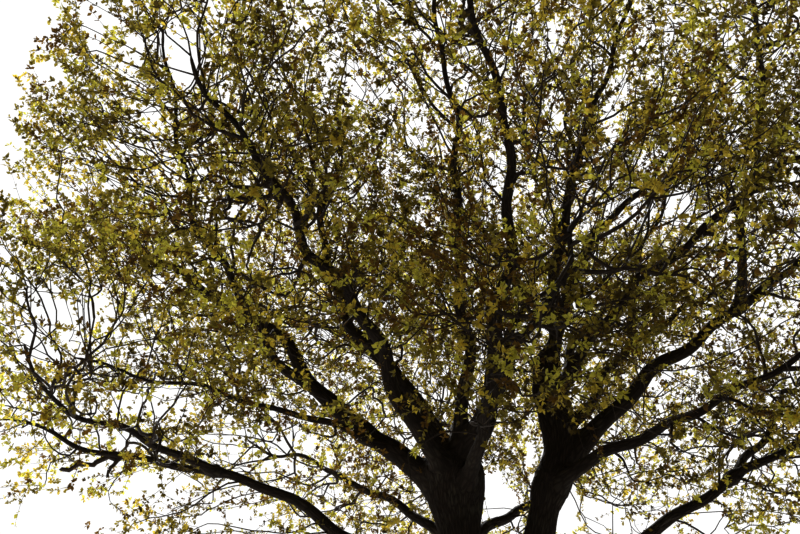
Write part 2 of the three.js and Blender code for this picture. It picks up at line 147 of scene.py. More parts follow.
BOUGHS = (
    # The boughs of the left stem.
    Limb("long_arch", "stem_left", 0.75, 0.25, 0.048, 172, 7.7, 6.0, 0.26, -0.07),
    Limb("level_left", "long_arch", 0.15, 0.092, 0.034, 206, 5.7, 1.1, 0.06),
    Limb("rising_left", "long_arch", 0.22, 0.135, 0.036, 222, 4.9, 6.5, -0.8, -0.5),
    Limb("front_left", "stem_left", 0.86, 0.205, 0.042, 243, 7.9, 4.0, 0.48, -0.35),
    Limb("inner_left", "stem_left", 0.9, 0.185, 0.04, 150, 4.5, 10.1, -0.55, 0.06),
    Limb("outer_top", "inner_left", 0.62, 0.088, 0.034, 195, 3.7, 2.5, 0.5, 0.09),
    Limb("tall_front", "stem_left", 0.9, 0.15, 0.038, 262, 3.5, 9.8, 0.06, 0.23),
    Limb("centre_front", "stem_left", 0.94, 0.19, 0.042, 262, 7.5, 6.0, 0.3, 1.3),
    Limb("crossing", "stem_left", 0.84, 0.14, 0.038, 42, 3.7, 11.1, -0.9, -0.5),
    Limb("low_left", "stem_left", 0.31, 0.18, 0.044, 190, 7.8, 2.65, 0.13, -0.03),
    Limb("low_left_fork", "low_left", 0.58, 0.092, 0.034, 246, 4.6, 0.9, -0.11, -0.35),
    Limb("shy_left", "stem_left", 0.48, 0.12, 0.036, 136, 6.6, 2.9, 0.23, -0.15),
    Limb("behind_right", "stem_left", 0.5, 0.13, 0.038, 53, 7.6, 3.0, 0.15, 0.23),
    Limb("low_front", "stem_left", 0.76, 0.17, 0.04, 279, 7.0, 2.3, 0.35, 0.2),
    Limb("back_left", "stem_left", 0.88, 0.185, 0.042, 122, 6.9, 5.4, 0.4, 0.25),
    Limb("back_middle", "stem_left", 0.74, 0.175, 0.042, 93, 7.7, 3.1, 0.45, -0.25),
    # The boughs of the right stem.
    Limb("right_leader", "stem_right", 0.86, 0.16, 0.04, 303, 3.3, 8.2, 0.23, -0.05),
    Limb("right_rising", "right_leader", 0.14, 0.13, 0.038, 17, 5.0, 6.2, 0.4, 0.16),
    Limb("right_middle", "stem_right", 0.7, 0.15, 0.04, 31, 6.3, 4.5, 0.33, 0.19),
    Limb("right_inner", "right_middle", 0.42, 0.092, 0.034, 335, 1.5, 4.0, 0.3, -0.1),
    Limb("right_strong", "stem_right", 0.52, 0.225, 0.046, 2, 7.4, 5.9, 0.35),
    Limb("right_upright", "right_strong", 0.54, 0.115, 0.036, 256, 6.5, 4.7, 0.06, 0.2),
    Limb("right_level", "stem_right", 0.5, 0.15, 0.038, 308, 6.5, 1.5, 0.26),
    Limb("right_front", "stem_right", 0.82, 0.15, 0.038, 311, 7.3, 3.7, 0.35, -0.25),
    Limb("low_right", "stem_right", 0.16, 0.178, 0.044, 349, 7.5, 3.0, 0.33, -0.03),
    Limb("low_right_fork", "low_right", 0.5, 0.1, 0.034, 43, 5.1, 2.9, 0.12, 0.09),
    Limb("back_right", "stem_right", 0.76, 0.165, 0.04, 66, 6.9, 5.2, 0.42, -0.2),
    Limb("back_high", "crossing", 0.36, 0.095, 0.034, 112, 4.7, 6.3, 0.2, 0.2),
)

# How the bark is laid on. Ridges are broad on the trunk and fine on the thin limbs.
RING_SIZES = {"trunk": (190, 110), "stem_left": (150, 170), "stem_right": (130, 240)}
BOUGH_CELL = 0.034
BOUGH_SIDES = (18, 44)
BOUGH_RING_STRETCH = 1.5
BOUGH_END_WIDTH = 0.6
BOUGH_END_SHARE = 0.02
RIDGE_STRETCH = 7.5
RIDGE_LEAST = 0.3
RIDGE_FULL_RADIUS = 0.45
RIDGE_WARP = 0.45
RIDGE_WARP_SCALE = 0.6
RIDGE_EDGE = 0.42
RIDGE_GRAIN = 0.25
RIDGE_GRAIN_SCALE = 2.7
LUMP_SIZE = 0.06
LUMP_SPACING = 2.6

# How limbs run into each other: how wide the fillet is beside the thinner limb's foot, how deep
# the skins of two limbs still overlap, how far the inner one sinks there, how flat a blend may be,
# and how much of the bearing limb's width a foot may take.
FILLET = 1.5
FILLET_PASSES = 3
SKIN_OVERLAP = 0.12
SKIN_SINK = 0.05
LEAST_SLOPE = 0.25
FOOT_ROOM = 0.9
NEAR_STEPS = 24


class Stub(NamedTuple):
    """A dead, broken end: the bough that it is left on and where, the way that it points, its
    length, and its radius at its foot."""
    on: str
    at: float
    way: tuple
    length: float
    foot: float


STUBS = (
    Stub("low_left", 0.75, (-1.0, -0.1, -0.24), 1.15, 0.052),
    Stub("low_left", 0.77, (-0.62, -0.05, -1.0), 0.4, 0.04),
    Stub("low_left", 0.7, (-0.5, 0.1, 1.0), 0.3, 0.024),
    Stub("low_left_fork", 0.42, (-0.3, 0.2, -1.0), 0.26, 0.02),
)
STUB_STEPS = 9
STUB_END = 0.72
STUB_KINK = 0.035

# How the crown is grown. Shoots are spread through it in clumps, and each joins wood that is near
# it. A bough's shoots reach further from it towards its end.
SHOOT_JITTER = 0.47
BOUGH_NODE_SPACING = 0.25
BOUGH_LEAFY_FROM = 0.22
FEWEST_NODES = 3
MASS_REACH = (1.9, 3.5)
LONGEST_JOIN = 1.0
PATH_WEIGHT = 0.15
TURN_WEIGHT = 0.9
GROWS_FROM = np.array((0.0, 0.0, 1.0))
MOST_FORKS = 2
OPEN_HEART = 0.06
HEART_FADE = 0.75
THIN_TOP = 0.25
THIN_FROM = 8.0
THIN_OVER = 6.0
CLUMP_SPACING = 1.1
CLUMP_EDGE = 2.2
CLUMP_DEPTH = 0.95
LIMB_CLEARANCE = 0.1
STRAIGHTEN = 0.35
PIPE_POWER = 0.54
SIDE_SHARE = 0.72
BRANCH_LOAD = 26
BRANCH_SIDES = 5
BRANCH_STEPS = 2
TWIG_SIDES = 3
TWIG_STEPS = 2
FINE_LOAD = 12
FINE_STEPS = 1
ROOT_COLLAR = 0.4
ROOT_COLLAR_LENGTH = 0.25
WANDER = 0.05


class View(NamedTuple):
    """An oval of the photo, in its pixels, and the share of the shoots that are left out there, or
    that the crown is filled up by."""
    across: float
    down: float
    half_width: float
    half_height: float
    share: float


PHOTO_WIDTH = 800
PHOTO_HEIGHT = 534
SENSOR_WIDTH = 36.0
NEAREST_SEEN = 0.1
GAP_EDGE = 1.9
GAP_RAGGED = 0.75
GAP_RAGGED_SPACING = 0.7
SKY_GAPS = (
    # Top left, round the tips of the left boughs.
    View(12, 12, 50, 44, 1.0),
    View(50, 72, 20, 13, 0.9),
    View(99, 18, 21, 25, 0.97),
    View(132, 60, 14, 28, 0.95),
    View(181, 52, 25, 36, 0.96),
    View(144, 115, 17, 22, 0.93),
    View(216, 10, 13, 15, 0.9),
    View(221, 94, 22, 17, 0.7),
    View(38, 190, 42, 17, 0.85),
    # Top middle and right, between the tall boughs.
    View(337, 64, 13, 20, 0.85),
    View(356, 90, 18, 14, 0.9),
    View(388, 95, 22, 14, 0.9),
    View(418, 130, 14, 30, 0.95),
    View(300, 20, 18, 26, 0.6),
    View(424, 219, 16, 14, 0.7),
    View(516, 20, 12, 20, 0.6),
    View(552, 40, 11, 27, 0.85),
    View(553, 112, 12, 27, 0.75),
    View(611, 122, 13, 24, 0.8),
    View(645, 160, 24, 14, 0.8),
    View(630, 214, 32, 14, 0.88),
    View(680, 206, 20, 19, 0.88),
    # Left, over the low boughs.
    View(97, 315, 26, 17, 0.8),
    View(35, 358, 30, 12, 0.6),
    View(150, 402, 56, 15, 0.75),
    View(255, 447, 66, 20, 0.8),
    # Right, over and under the strong bough.
    View(672, 356, 22, 14, 0.7),
    View(712, 333, 20, 12, 0.6),
    # Along the foot of the picture, under the low boughs.
    View(40, 518, 70, 29, 1.0),
    View(150, 488, 48, 21, 0.9),
    View(250, 520, 40, 16, 0.7),
    View(500, 500, 22, 40, 0.95),
    View(566, 508, 14, 34, 1.0),
    View(600, 516, 24, 24, 0.9),
    View(704, 524, 30, 10, 0.7),
)

# Where the photo shows a bough clear of leaves, the shoots before it are left out.
CLEAR_TO = -0.1
CLEAR_VIEWS = (
    # The two stems and the boughs that rise to the left.
    View(455, 484, 46, 66, 1.0),
    View(548, 474, 36, 80, 1.0),
    View(396, 425, 34, 26, 0.8),
    View(350, 386, 32, 26, 0.8),
    View(305, 346, 30, 24, 0.7),
    View(398, 372, 26, 34, 0.8),
    View(362, 322, 22, 30, 0.7),
    # The strong bough and the low one to the right.
    View(610, 432, 30, 24, 0.85),
    View(662, 388, 36, 24, 0.85),
    View(722, 344, 36, 22, 0.8),
    View(778, 312, 30, 20, 0.75),
    View(690, 505, 42, 18, 0.85),
    View(765, 462, 40, 18, 0.85),
    # The tall boughs at the top.
    View(440, 110, 14, 70, 0.75),
    View(505, 190, 20, 50, 0.8),
    View(572, 190, 16, 60, 0.75),
    View(612, 90, 18, 60, 0.7),
    View(735, 90, 14, 60, 0.6),
    # The low left bough.
    View(300, 500, 50, 18, 0.9),
    View(215, 470, 50, 14, 0.8),
    View(100, 440, 60, 14, 0.7),
    View(84, 470, 44, 16, 0.9),
)

# Where the photo shows the leaf masses at their fullest. Elsewhere the crown is thinner.
BETWEEN_MASSES = 0.88
FULL_MASSES = (
    View(440, 275, 130, 85, 0.95),
    View(290, 150, 80, 66, 0.7),
    View(620, 290, 110, 60, 0.7),
    View(700, 140, 110, 70, 0.9),
    View(560, 120, 60, 70, 0.5),
    View(240, 320, 80, 60, 0.7),
    View(110, 238, 110, 48, 0.85),
    View(72, 118, 70, 34, 0.75),
    View(72, 46, 30, 38, 0.75),
    View(152, 62, 12, 58, 0.7),
    View(212, 128, 40, 34, 0.7),
    View(252, 44, 28, 44, 0.6),
    View(90, 376, 80, 18, 0.6),
    View(745, 400, 60, 50, 0.5),
)


class LeafShape(NamedTuple):
    """The right half of a leaf, from its stalk to its tip, as how far along and how far out in
    shares, and its triangles: point 0 is the stalk end, 1 the tip, and the lobes follow. Then the
    share of the leaves that are so shaped, and their size beside a full-grown leaf."""
    lobes: tuple
    faces: tuple
    share: float
    size: float


LEAF_SHAPES = (
    LeafShape(((0.34, 0.78), (0.5, 0.46), (0.75, 1.0)), ((0, 3, 2), (0, 1, 3), (3, 1, 4)), 0.04, 1.0),
    LeafShape(((0.42, 0.95), (0.66, 0.6)), ((0, 3, 2), (0, 1, 3)), 0.17, 0.94),
    LeafShape(((0.55, 0.95),), ((0, 1, 2),), 0.79, 0.88),
)
LEAFY_LOAD = 6
WHORLS = ((0.32, 0.2), (0.64, 0.3), (0.97, 0.5))
WHORL_LENGTH = 0.05
WHORL_LEAN = (0.45, 1.5)
GOLDEN_TURN = pi * (3 - sqrt(5))
FEWEST_LEAVES = 2
LEAF_SIZE_SPREAD = 0.22
LEAF_SIZE_LIMITS = (0.45, 1.5)
LEAF_SCATTER = 0.16
FACES_UP = 0.75
FACES_ALONG = 0.35
FACES_ANYHOW = 0.55
TINT_PATCH = 1.6
TINT_PATCH_WEIGHT = 0.9
CROWN_MIDDLE = np.array((0.0, 0.0, 8.0))
# How much more often the dark end tints fall at the crown's middle than at its surface: painted shade in the
# heart.
PAINTED_SHADE_TINT_RANGE = (1.9, 0.75)
TINTS = ("deep", "moss", "olive", "fresh", "golden", "bronze")
TINT_SHARES = (0.15, 0.16, 0.19, 0.18, 0.17, 0.15)

# How the colours vary, and how the picture is taken.
BARK_SCALE = (26, 26, 3.6)
CRACK_BEND = (0.8, 0.8, 0.8)
FINE_HEIGHT = 0.3
DULL_RIDGE = 0.45
DARK_TWIG = 0.5
DARK_LEAF = 0.62
LIGHT_LEAF = 1.25
DIM_FLOOR = 0.96
FLOOR_SIDES = 96
SEEN_TO = 500
PICTURE_GAMMA = 0.8


def mass_nodes():
    """The nodes of the leaf masses, which the grown branches, twigs and leaves stand for."""
    return [f"leaves_{bough.name}" for bough in BOUGHS]


def length_setting(name, description, default, least, most):
    """A setting that is a length in metres."""
    return FloatProperty(
        name=name, description=description, default=default, min=least, max=most, unit="LENGTH")


def angle_setting(name, description, degrees, **limits):
    """A setting that is an angle, given here in degrees."""
    return FloatProperty(
        name=name, description=description, default=radians(degrees), subtype="ANGLE", **limits)


def share_setting(name, description, default):
    """A setting that is a share, from none to all."""
    return FloatProperty(
        name=name, description=description, default=default, min=0.0, max=1.0, subtype="FACTOR")


def colour_setting(name, description, *default):
    """A setting that is a colour."""
    return FloatVectorProperty(
        name=name, description=description, default=default, min=0.0, max=1.0, subtype="COLOR")


def light_setting(name, description, default, most=10.0):
    """A setting for how strong a light is."""
    return FloatProperty(name=name, description=description, default=default, min=0.0, max=most)


class WoodSettings(bpy.types.PropertyGroup):
    """Bark of the trunk, stems and boughs, and the thickness of what grows on them."""
    ridge_width: length_setting(
        "Ridge width", "Width of a bark ridge on the trunk", 0.075, 0.01, 0.3)
    furrow_depth: length_setting(
        "Furrow depth", "Depth of the furrows between the ridges on the trunk", 0.024, 0.0, 0.1)
    twig_radius: length_setting("Twig radius", "Radius of the thinnest twigs", 0.0022, 0.001, 0.02)
    ridge_colour: colour_setting("Ridge colour", "Colour of the tops of the bark ridges", 0.06, 0.042, 0.03)
    furrow_colour: colour_setting("Furrow colour", "Colour deep in the bark", 0.014, 0.009, 0.006)
    lichen_colour: colour_setting(
        "Lichen colour", "Colour of the pale lichen on the bark", 0.09, 0.086, 0.062)
    twig_colour: colour_setting(
        "Twig colour", "Colour of the smooth bark of the twigs", 0.06, 0.042, 0.03)


class CrownSettings(bpy.types.PropertyGroup):
    """How dense the crown is."""
    shoot_spacing: length_setting(
        "Shoot spacing", "Distance between shoots where the crown is fullest", 0.304, 0.25, 2.0)
    heart_density: share_setting(
        "Heart density", "Share of the shoots that grow in the shaded middle", 0.75)


class LeafSettings(bpy.types.PropertyGroup):
    """The young leaves and their tints."""
    length: length_setting("Leaf length", "Mean length of a full-grown leaf", 0.078, 0.03, 0.4)
    width: length_setting("Leaf width", "Mean width of a full-grown leaf", 0.0485, 0.02, 0.3)
    fold: angle_setting(
        "Fold", "How far each half of a leaf is folded up from flat", 17, min=0.0, max=radians(60))
    per_spray: IntProperty(
        name="Leaves in a spray", description="Mean number of leaves on one shoot",
        default=14, min=2, max=30)
    see_through: share_setting("Light let through", "Share of the light that a leaf lets through", 0.55)
    fresh: colour_setting("Fresh", "Yellow-green of the youngest leaves", 0.68, 0.63, 0.1)
    golden: colour_setting("Golden", "Golden leaves that still unfold", 0.66, 0.52, 0.075)
    olive: colour_setting("Olive", "Olive leaves", 0.3, 0.245, 0.04)
    moss: colour_setting("Moss", "Duller, browner olive leaves", 0.25, 0.195, 0.026)
    bronze: colour_setting("Bronze", "Reddish bronze leaves", 0.18, 0.1, 0.016)
    # The deep tint goes mostly to the crown's heart, where its darkness is painted shade.
    deep: colour_setting("Deep", "The darkest leaves, in the crown's shade", 0.105, 0.073, 0.012)


class StageSettings(bpy.types.PropertyGroup):
    """The camera, the light and the floor."""
    eye: FloatVectorProperty(
        name="Eye", description="Place of the camera",
        default=(-1.75, -16.0, 1.6), subtype="TRANSLATION", unit="LENGTH")
    pitch: angle_setting("Pitch", "How far the camera looks up", 22)
    lens: FloatProperty(
        name="Lens", description="Focal length of the camera on a 36 mm sensor",
        default=40.0, min=10.0, max=200.0, unit="CAMERA")
    sky_colour: colour_setting("Sky colour", "Colour of the pale sky", 1.0, 1.0, 1.0)
    fill_colour: colour_setting(
        "Fill colour", "Colour of the light that falls from all round", 1.0, 0.88, 0.68)
    sky_strength: light_setting("Sky strength", "How bright the pale sky looks", 1.1)
    fill_strength: light_setting(
        "Fill strength", "Strength of the light that falls from all round", 0.06)
    lamp_strength: light_setting(
        "Lamp strength", "Strength of the soft lamp behind the crown", 10.0, 50.0)
    lamp_softness: angle_setting("Lamp softness", "Angle that the lamp spans", 10, min=0.0, max=pi)
    lamp_height: angle_setting("Lamp height", "Angle of the lamp above the horizon", 32)
    lamp_bearing: angle_setting(
        "Lamp bearing", "Bearing of the lamp from the tree, 90 degrees is behind it", 104)
    floor_colour: colour_setting("Floor colour", "Colour of the plain floor", 0.6, 0.59, 0.57)
    floor_radius: length_setting("Floor radius", "Reach of the round floor", 250.0, 10.0, 500.0)


def seeded(seed):
    """A repeatable source of numbers from 0 to 1, the one that the solids' limbs are bent by."""
    mask = 0xFFFFFFFF
    state = seed

    def draw():
        nonlocal state
        state = (state + 0x6D2B79F5) & mask
        mixed = ((state ^ (state >> 15)) * (state | 1)) & mask
        mixed ^= (mixed + (mixed ^ (mixed >> 7)) * (mixed | 61)) & mask
        return (mixed ^ (mixed >> 14)) / (mask + 1)

    return draw


def unit(vectors):
    """The vectors, each made one long."""
    return vectors / np.maximum(np.linalg.norm(vectors, axis=-1, keepdims=True), TINY)


def noise_at(points, spacing):
    """Smooth noise at points, its waves about a spacing apart."""
    return np.array([noise.noise(Vector(place) / spacing) for place in points.tolist()])


def limb_line(limb, start, seed, kinked):
    """The limb's middle line, which turns shares of its length, 0 to 1, into points. A bough has
    small kinks besides the slow waves of the solids."""
    draw = seeded(seed)
    bearing = radians(limb.bearing)
    out = np.array((cos(bearing), sin(bearing), 0.0))
    side = np.array((-out[1], out[0], 0.0))
    chord = out * limb.reach + UP * limb.rise
    span = np.linalg.norm(chord)
    over = unit(np.cross(chord, side))
    waves = [(count, CROOK * span * 2 / count, draw() * 2 * pi, draw() * 2 * pi) for count in CROOK_WAVES]
    if kinked:
        kinks = round(span / KINK_LENGTH)
        overtone = int(kinks * KINK_OVERTONE)
        waves += [(count, KINK, draw() * 2 * pi, draw() * 2 * pi) for count in (kinks, overtone)]

    def line(share):
        share = np.asarray(share, dtype=float)[..., None]
        hump = np.sin(pi * np.minimum(share, 1))
        settle = np.minimum(1, share / CROOK_SETS_IN)
        point = start + chord * share + over * (limb.arch * hump) + side * (limb.bow * hump)
        for count, size, over_phase, side_phase in waves:
            turn = pi * count * share
            point = point + over * (settle * size * np.sin(turn + over_phase))
            point = point + side * (settle * size * np.sin(turn + side_phase))
        return point

    return line


def dome_width(into_dome):
    """How much of its width a closing end still has, from 0 at the dome's foot to 1 at its top."""
    return np.maximum(DOME_LEAST, np.sqrt(np.maximum(0, 1 - into_dome * into_dome)))


def limb_radius(limb, length, is_stem, borne_by):
    """The limb's radius at shares of its length. A bough closes at its very end, and its foot stays
    inside the limb that bears it, whose radius there is given."""
    def radius(share, angle=0.0):
        share = np.asarray(share, dtype=float)
        power = TAPER_POWER if is_stem else BOUGH_TAPER_POWER
        tip = limb.tip if is_stem else limb.tip * BOUGH_TIP_SHARE
        taper = limb.foot + (tip - limb.foot) * share ** power
        collar = 1 + COLLAR * np.exp(-share * length / (COLLAR_LENGTH * limb.foot))
        if not is_stem:
            into_end = np.clip((share - (1 - BOUGH_END_SHARE)) / BOUGH_END_SHARE, 0, 1)
            width = taper * collar * (1 - (1 - BOUGH_END_WIDTH) * into_end ** 2)
            return np.minimum(width, FOOT_ROOM * borne_by + share * length)
        swell = 1 + limb.swell * np.exp(-(((share - SWELL_AT) / SWELL_WIDTH) ** 2))
        into_dome = np.maximum(0, (share - (1 - DOME_SHARE)) / DOME_SHARE)
        return taper * collar * swell * dome_width(into_dome)

    return radius


def trunk_line(share):
    """The trunk's middle line, upright at the ground and leaning a little above it."""
    share = np.asarray(share, dtype=float)
    lean = TRUNK_LEAN * np.maximum(0, share - TRUNK_LEAN_FROM) ** 2
    return np.stack((lean, np.zeros_like(share), share * TRUNK_HEIGHT), axis=-1)


def trunk_radius(share, angle=0.0):
    """The trunk has a root flare with blunt lobes, and closes in a dome inside the fork."""
    height = np.asarray(share, dtype=float) * TRUNK_HEIGHT
    fade = np.exp(-height / FLARE_HEIGHT)
    lobes = 1 + LOBE_DEPTH * fade ** LOBE_FADE * np.cos(LOBES * angle + LOBE_TURN)
    taper = TRUNK_FOOT + (TRUNK_WAIST - TRUNK_FOOT) * np.minimum(1, height / TRUNK_DOME_FROM)
    into_dome = np.maximum(0, (height - TRUNK_DOME_FROM) / (TRUNK_HEIGHT - TRUNK_DOME_FROM))
    return (taper + FLARE * fade) * lobes * dome_width(into_dome)


class Form(NamedTuple):
    """A limb's line, its radius, its length and the node that it dresses."""
    line: object
    radius: object
    length: float
    node: str


@lru_cache(maxsize=None)
def limb_forms():
    """Every limb's form by name, in the order of growth."""
    forms = {"trunk": Form(trunk_line, trunk_radius, TRUNK_HEIGHT, "trunk")}
    for index, limb in enumerate(STEMS + BOUGHS):
        is_stem = limb in STEMS
        line = limb_line(limb, forms[limb.on].line(limb.at), SEED + index, not is_stem)
        steps = line(np.arange(LENGTH_STEPS + 1) / LENGTH_STEPS)
        length = float(np.linalg.norm(np.diff(steps, axis=0), axis=1).sum())
        node = limb.name if is_stem else f"bough_{limb.name}"
        borne_by = float(forms[limb.on].radius(limb.at))
        forms[limb.name] = Form(line, limb_radius(limb, length, is_stem, borne_by), length, node)
    return forms


def ring_frames(points):
    """For every ring along a line, the way to its first point and the way a quarter turn on."""
    across = FIRST_ACROSS
    frames = []
    last = len(points) - 1
    for ring in range(last, -1, -1):
        ahead = unit(points[min(last, ring + 1)] - points[max(0, ring - 1)])
        across = unit(across - ahead * np.dot(across, ahead))
        frames.append((across, np.cross(ahead, across)))
    frames.reverse()
    return np.array(frames)


def bark_relief(grain, width):
    """How high the bark stands, 0 in a furrow and 1 on a ridge, at points of the straightened limb."""
    # The vector noise depends on this seed, which would otherwise be the time of day.
    noise.seed_set(SEED)
    heights = []
    for (x, y, z), ridge in zip(grain.tolist(), width.tolist()):
        place = Vector((x / ridge, y / ridge, z / (ridge * RIDGE_STRETCH)))
        place += RIDGE_WARP * noise.noise_vector(place * RIDGE_WARP_SCALE)
        near = noise.voronoi(place)[0]
        edge = min(1.0, (near[1] - near[0]) / RIDGE_EDGE)
        heights.append(edge * (2 - edge) + RIDGE_GRAIN * noise.noise(place * RIDGE_GRAIN_SCALE))
    return np.array(heights)


def limbs_beside(name):
    """The limbs that touch a limb: what bears it, what it bears, and what grows beside it. Each
    comes with the width of the fillet between the two."""
    feet = {limb.name: limb.foot for limb in STEMS + BOUGHS}
    bearer = {limb.name: limb.on for limb in STEMS + BOUGHS}
    own = feet.get(name, TRUNK_FOOT)
    beside = []
    for other in ("trunk", *feet):
        touches = bearer.get(other) == name or bearer.get(name) in (other, bearer.get(other, ""))
        if touches and other != name:
            beside.append((limb_forms()[other], FILLET * min(own, feet.get(other, TRUNK_FOOT))))
    return beside


def above_skin(form, points):
    """How far points stand outside a limb's skin, and the way straight out from it."""
    line = form.line(np.arange(NEAR_STEPS + 1) / NEAR_STEPS)
    start, step = line[:-1], np.diff(line, axis=0)
    along = np.einsum("psk,sk->ps", points[:, None] - start, step) / (step ** 2).sum(axis=1)
    along = np.clip(along, 0, 1)
    away = points[:, None] - start - step * along[..., None]
    gap = np.linalg.norm(away, axis=2)
    row = np.arange(len(points))
    best = gap.argmin(axis=1)
    share = (best + along[row, best]) / NEAR_STEPS
    return gap[row, best] - form.radius(share), unit(away[row, best])


def run_together(form, points, beside):
    """Moves points of a limb's skin out onto a fillet between it and the limbs beside it. Also
    gives the way out of the new skin. Points deep inside another limb stay where they are."""
    own_height, out = above_skin(form, points)
    gaps = np.array([above_skin(other, points)[0] / fillet for other, fillet in beside]).min(axis=0)
    depth = np.array([-above_skin(other, points)[0] for other, _ in beside]).max(axis=0)
    near = (gaps < 1) & (depth < SKIN_OVERLAP)
    keeps = np.clip(gaps[near], 0, 1) * own_height[near]
    sinks = SKIN_SINK * np.clip(depth[near] / SKIN_OVERLAP, 0, 1)
    moved = points[near]
    for _ in range(FILLET_PASSES):
        height, way = above_skin(form, moved)
        height = height - keeps
        for other, fillet in beside:
            other_height, other_way = above_skin(other, moved)
            own_share = np.clip(0.5 + 0.5 * (other_height - height) / fillet, 0, 1)
            blend = own_share * (1 - own_share)
            height = own_share * height + (1 - own_share) * other_height - fillet * blend
            way = own_share[:, None] * way + (1 - own_share)[:, None] * other_way
        slope = np.maximum((way ** 2).sum(axis=1), LEAST_SLOPE)
        moved = moved - ((height + sinks) / slope)[:, None] * way
    points = points.copy()
    points[near] = moved
    out[near] = unit(way)
    return points, out


def straight_cylinder(name, sides, rings):
    """A closed cylinder, with the angle of each of its points and the number of its ring."""
    shape = bmesh.new()
    bmesh.ops.create_cone(shape, cap_ends=True, segments=sides, radius1=1, radius2=1, depth=1)
    upright = [edge for edge in shape.edges if abs(edge.verts[0].co.z - edge.verts[1].co.z) > 0.5]
    bmesh.ops.subdivide_edges(shape, edges=upright, cuts=rings - 1)
    mesh = bpy.data.meshes.new(name)
    shape.to_mesh(mesh)
    shape.free()
    flat = np.empty(len(mesh.vertices) * 3)
    mesh.vertices.foreach_get("co", flat)
    x, y, z = flat.reshape(-1, 3).T
    return mesh, np.arctan2(y, x), np.rint((z + 0.5) * rings).astype(int)


def dress_limb(name, form, sides, rings, wood, beside):
    """A cylinder bent along a limb and run together with the limbs beside it, with the bark's
    ridges and furrows in its mesh."""
    mesh, angle, ring = straight_cylinder(name, sides, rings)
    shares = np.arange(rings + 1) / rings
    middles = form.line(shares)
    frames = ring_frames(middles)
    radius = form.radius(shares[ring], angle)

    mean = form.radius(shares)[ring]
    girth = np.minimum(mean, np.median(mean))
    grain = np.stack((girth * np.cos(angle), girth * np.sin(angle), shares[ring] * form.length), axis=-1)
    age = np.clip(mean / RIDGE_FULL_RADIUS, RIDGE_LEAST, 1)
    relief = bark_relief(grain, wood.ridge_width * age) - 1
    swollen = radius * (1 + LUMP_SIZE * noise_at(grain, LUMP_SPACING * float(mean.mean())))
    out = frames[ring, 0] * np.cos(angle)[:, None] + frames[ring, 1] * np.sin(angle)[:, None]
    place, out = run_together(form, middles[ring] + swollen[:, None] * out, beside)
    place += (wood.furrow_depth * age * relief)[:, None] * out
    if form.node == "trunk":
        place[ring == 0, 2] = 0.0
    mesh.vertices.foreach_set("co", place.ravel())
    mesh.attributes.new("grain", "FLOAT_VECTOR", "POINT").data.foreach_set("vector", grain.ravel())
    mesh.shade_smooth()
    return mesh


def mesh_of(name, points, corners, sizes):
    """A mesh from arrays: its points, every face's corners in a row, and the sizes of the faces."""
    mesh = bpy.data.meshes.new(name)
    mesh.vertices.add(len(points))
    mesh.vertices.foreach_set("co", points.ravel())
    mesh.loops.add(len(corners))
    mesh.loops.foreach_set("vertex_index", corners.astype(np.int32))
    mesh.polygons.add(len(sizes))
    starts = np.concatenate(([0], np.cumsum(sizes)[:-1])).astype(np.int32)
    mesh.polygons.foreach_set("loop_start", starts)
    mesh.update(calc_edges=True)
    mesh.validate()
    return mesh


def ways_across(points, first, last):
    """Two ways across each point of many strands, at right angles to each other and to the
    strand. A strand runs from a first point to a last one."""
    ahead = np.zeros_like(points)
    ahead[:-1] = unit(points[1:] - points[:-1])
    ahead[last] = ahead[last - 1]
    behind = np.roll(ahead, 1, axis=0)
    behind[first] = ahead[first]
    way = unit(ahead + behind)
    level = unit(np.cross(unit(points[last] - points[first]), UP) + np.array(OFF_LEVEL))
    across = unit(np.cross(way, np.repeat(level, last - first + 1, axis=0)))
    return across, np.cross(way, across)


def tubes(name, strands, sides):
    """One mesh of many closed tubes, each drawn out to a point at its end. A strand is its points
    and their radii."""
    points = np.concatenate([strand[0] for strand in strands])
    radii = np.concatenate([strand[1] for strand in strands])
    lengths = np.array([len(strand[0]) for strand in strands])
    last = np.cumsum(lengths) - 1
    first = last - lengths + 1
    inner = np.ones(len(points), dtype=bool)
    inner[last] = False
    across, quarter = (ways[inner, None] for ways in ways_across(points, first, last))
    turn = (np.arange(sides) * 2 * pi / sides)[:, None]
    rims = points[inner, None] + radii[inner, None, None] * (across * np.cos(turn) + quarter * np.sin(turn))

    ring = np.cumsum(inner) - 1
    step = np.arange(sides)
    onward = (step + 1) % sides
    followed = inner.copy()
    followed[last - 1] = False
    here = (ring[followed] * sides)[:, None]
    walls = np.stack((here + step, here + onward, here + sides + onward, here + sides + step), axis=-1)
    neck = (ring[last - 1] * sides)[:, None]
    tip = np.repeat(rims.size // 3 + np.arange(len(last))[:, None], sides, axis=1)
    cones = np.stack((neck + step, neck + onward, tip), axis=-1)
    feet = ring[first][:, None] * sides + step[::-1]
    corners = np.concatenate((walls.ravel(), cones.ravel(), feet.ravel()))
    sizes = np.repeat((4, 3, sides), (walls.size // 4, cones.size // 3, len(first)))
    mesh = mesh_of(name, np.concatenate((rims.reshape(-1, 3), points[last])), corners, sizes)
    mesh.shade_smooth()
    return mesh


@lru_cache(maxsize=None)
def leafy_stretches():
    """For every bough, the nodes along its leafy part: their shares, places and radii."""
    stretches = []
    for bough in BOUGHS:
        form = limb_forms()[bough.name]
        steps = max(FEWEST_NODES, round(form.length * (1 - BOUGH_LEAFY_FROM) / BOUGH_NODE_SPACING))
        shares = np.linspace(BOUGH_LEAFY_FROM, 1, steps)
        stretches.append((shares, form.line(shares), form.radius(shares)))
    return stretches


def away_from_boughs(points):
    """How far points stand from the leafy parts of the boughs: 0 near them and 1 well away."""
    nodes = np.concatenate([places for _, places, _ in leafy_stretches()])
    tree = kdtree.KDTree(len(nodes))
    for number, node in enumerate(nodes.tolist()):
        tree.insert(node, number)
    tree.balance()
    gap = np.array([tree.find(point)[2] for point in points.tolist()])
    return np.clip((gap - NEAR_BOUGH) / (FAR_FROM_BOUGH - NEAR_BOUGH), 0, 1)


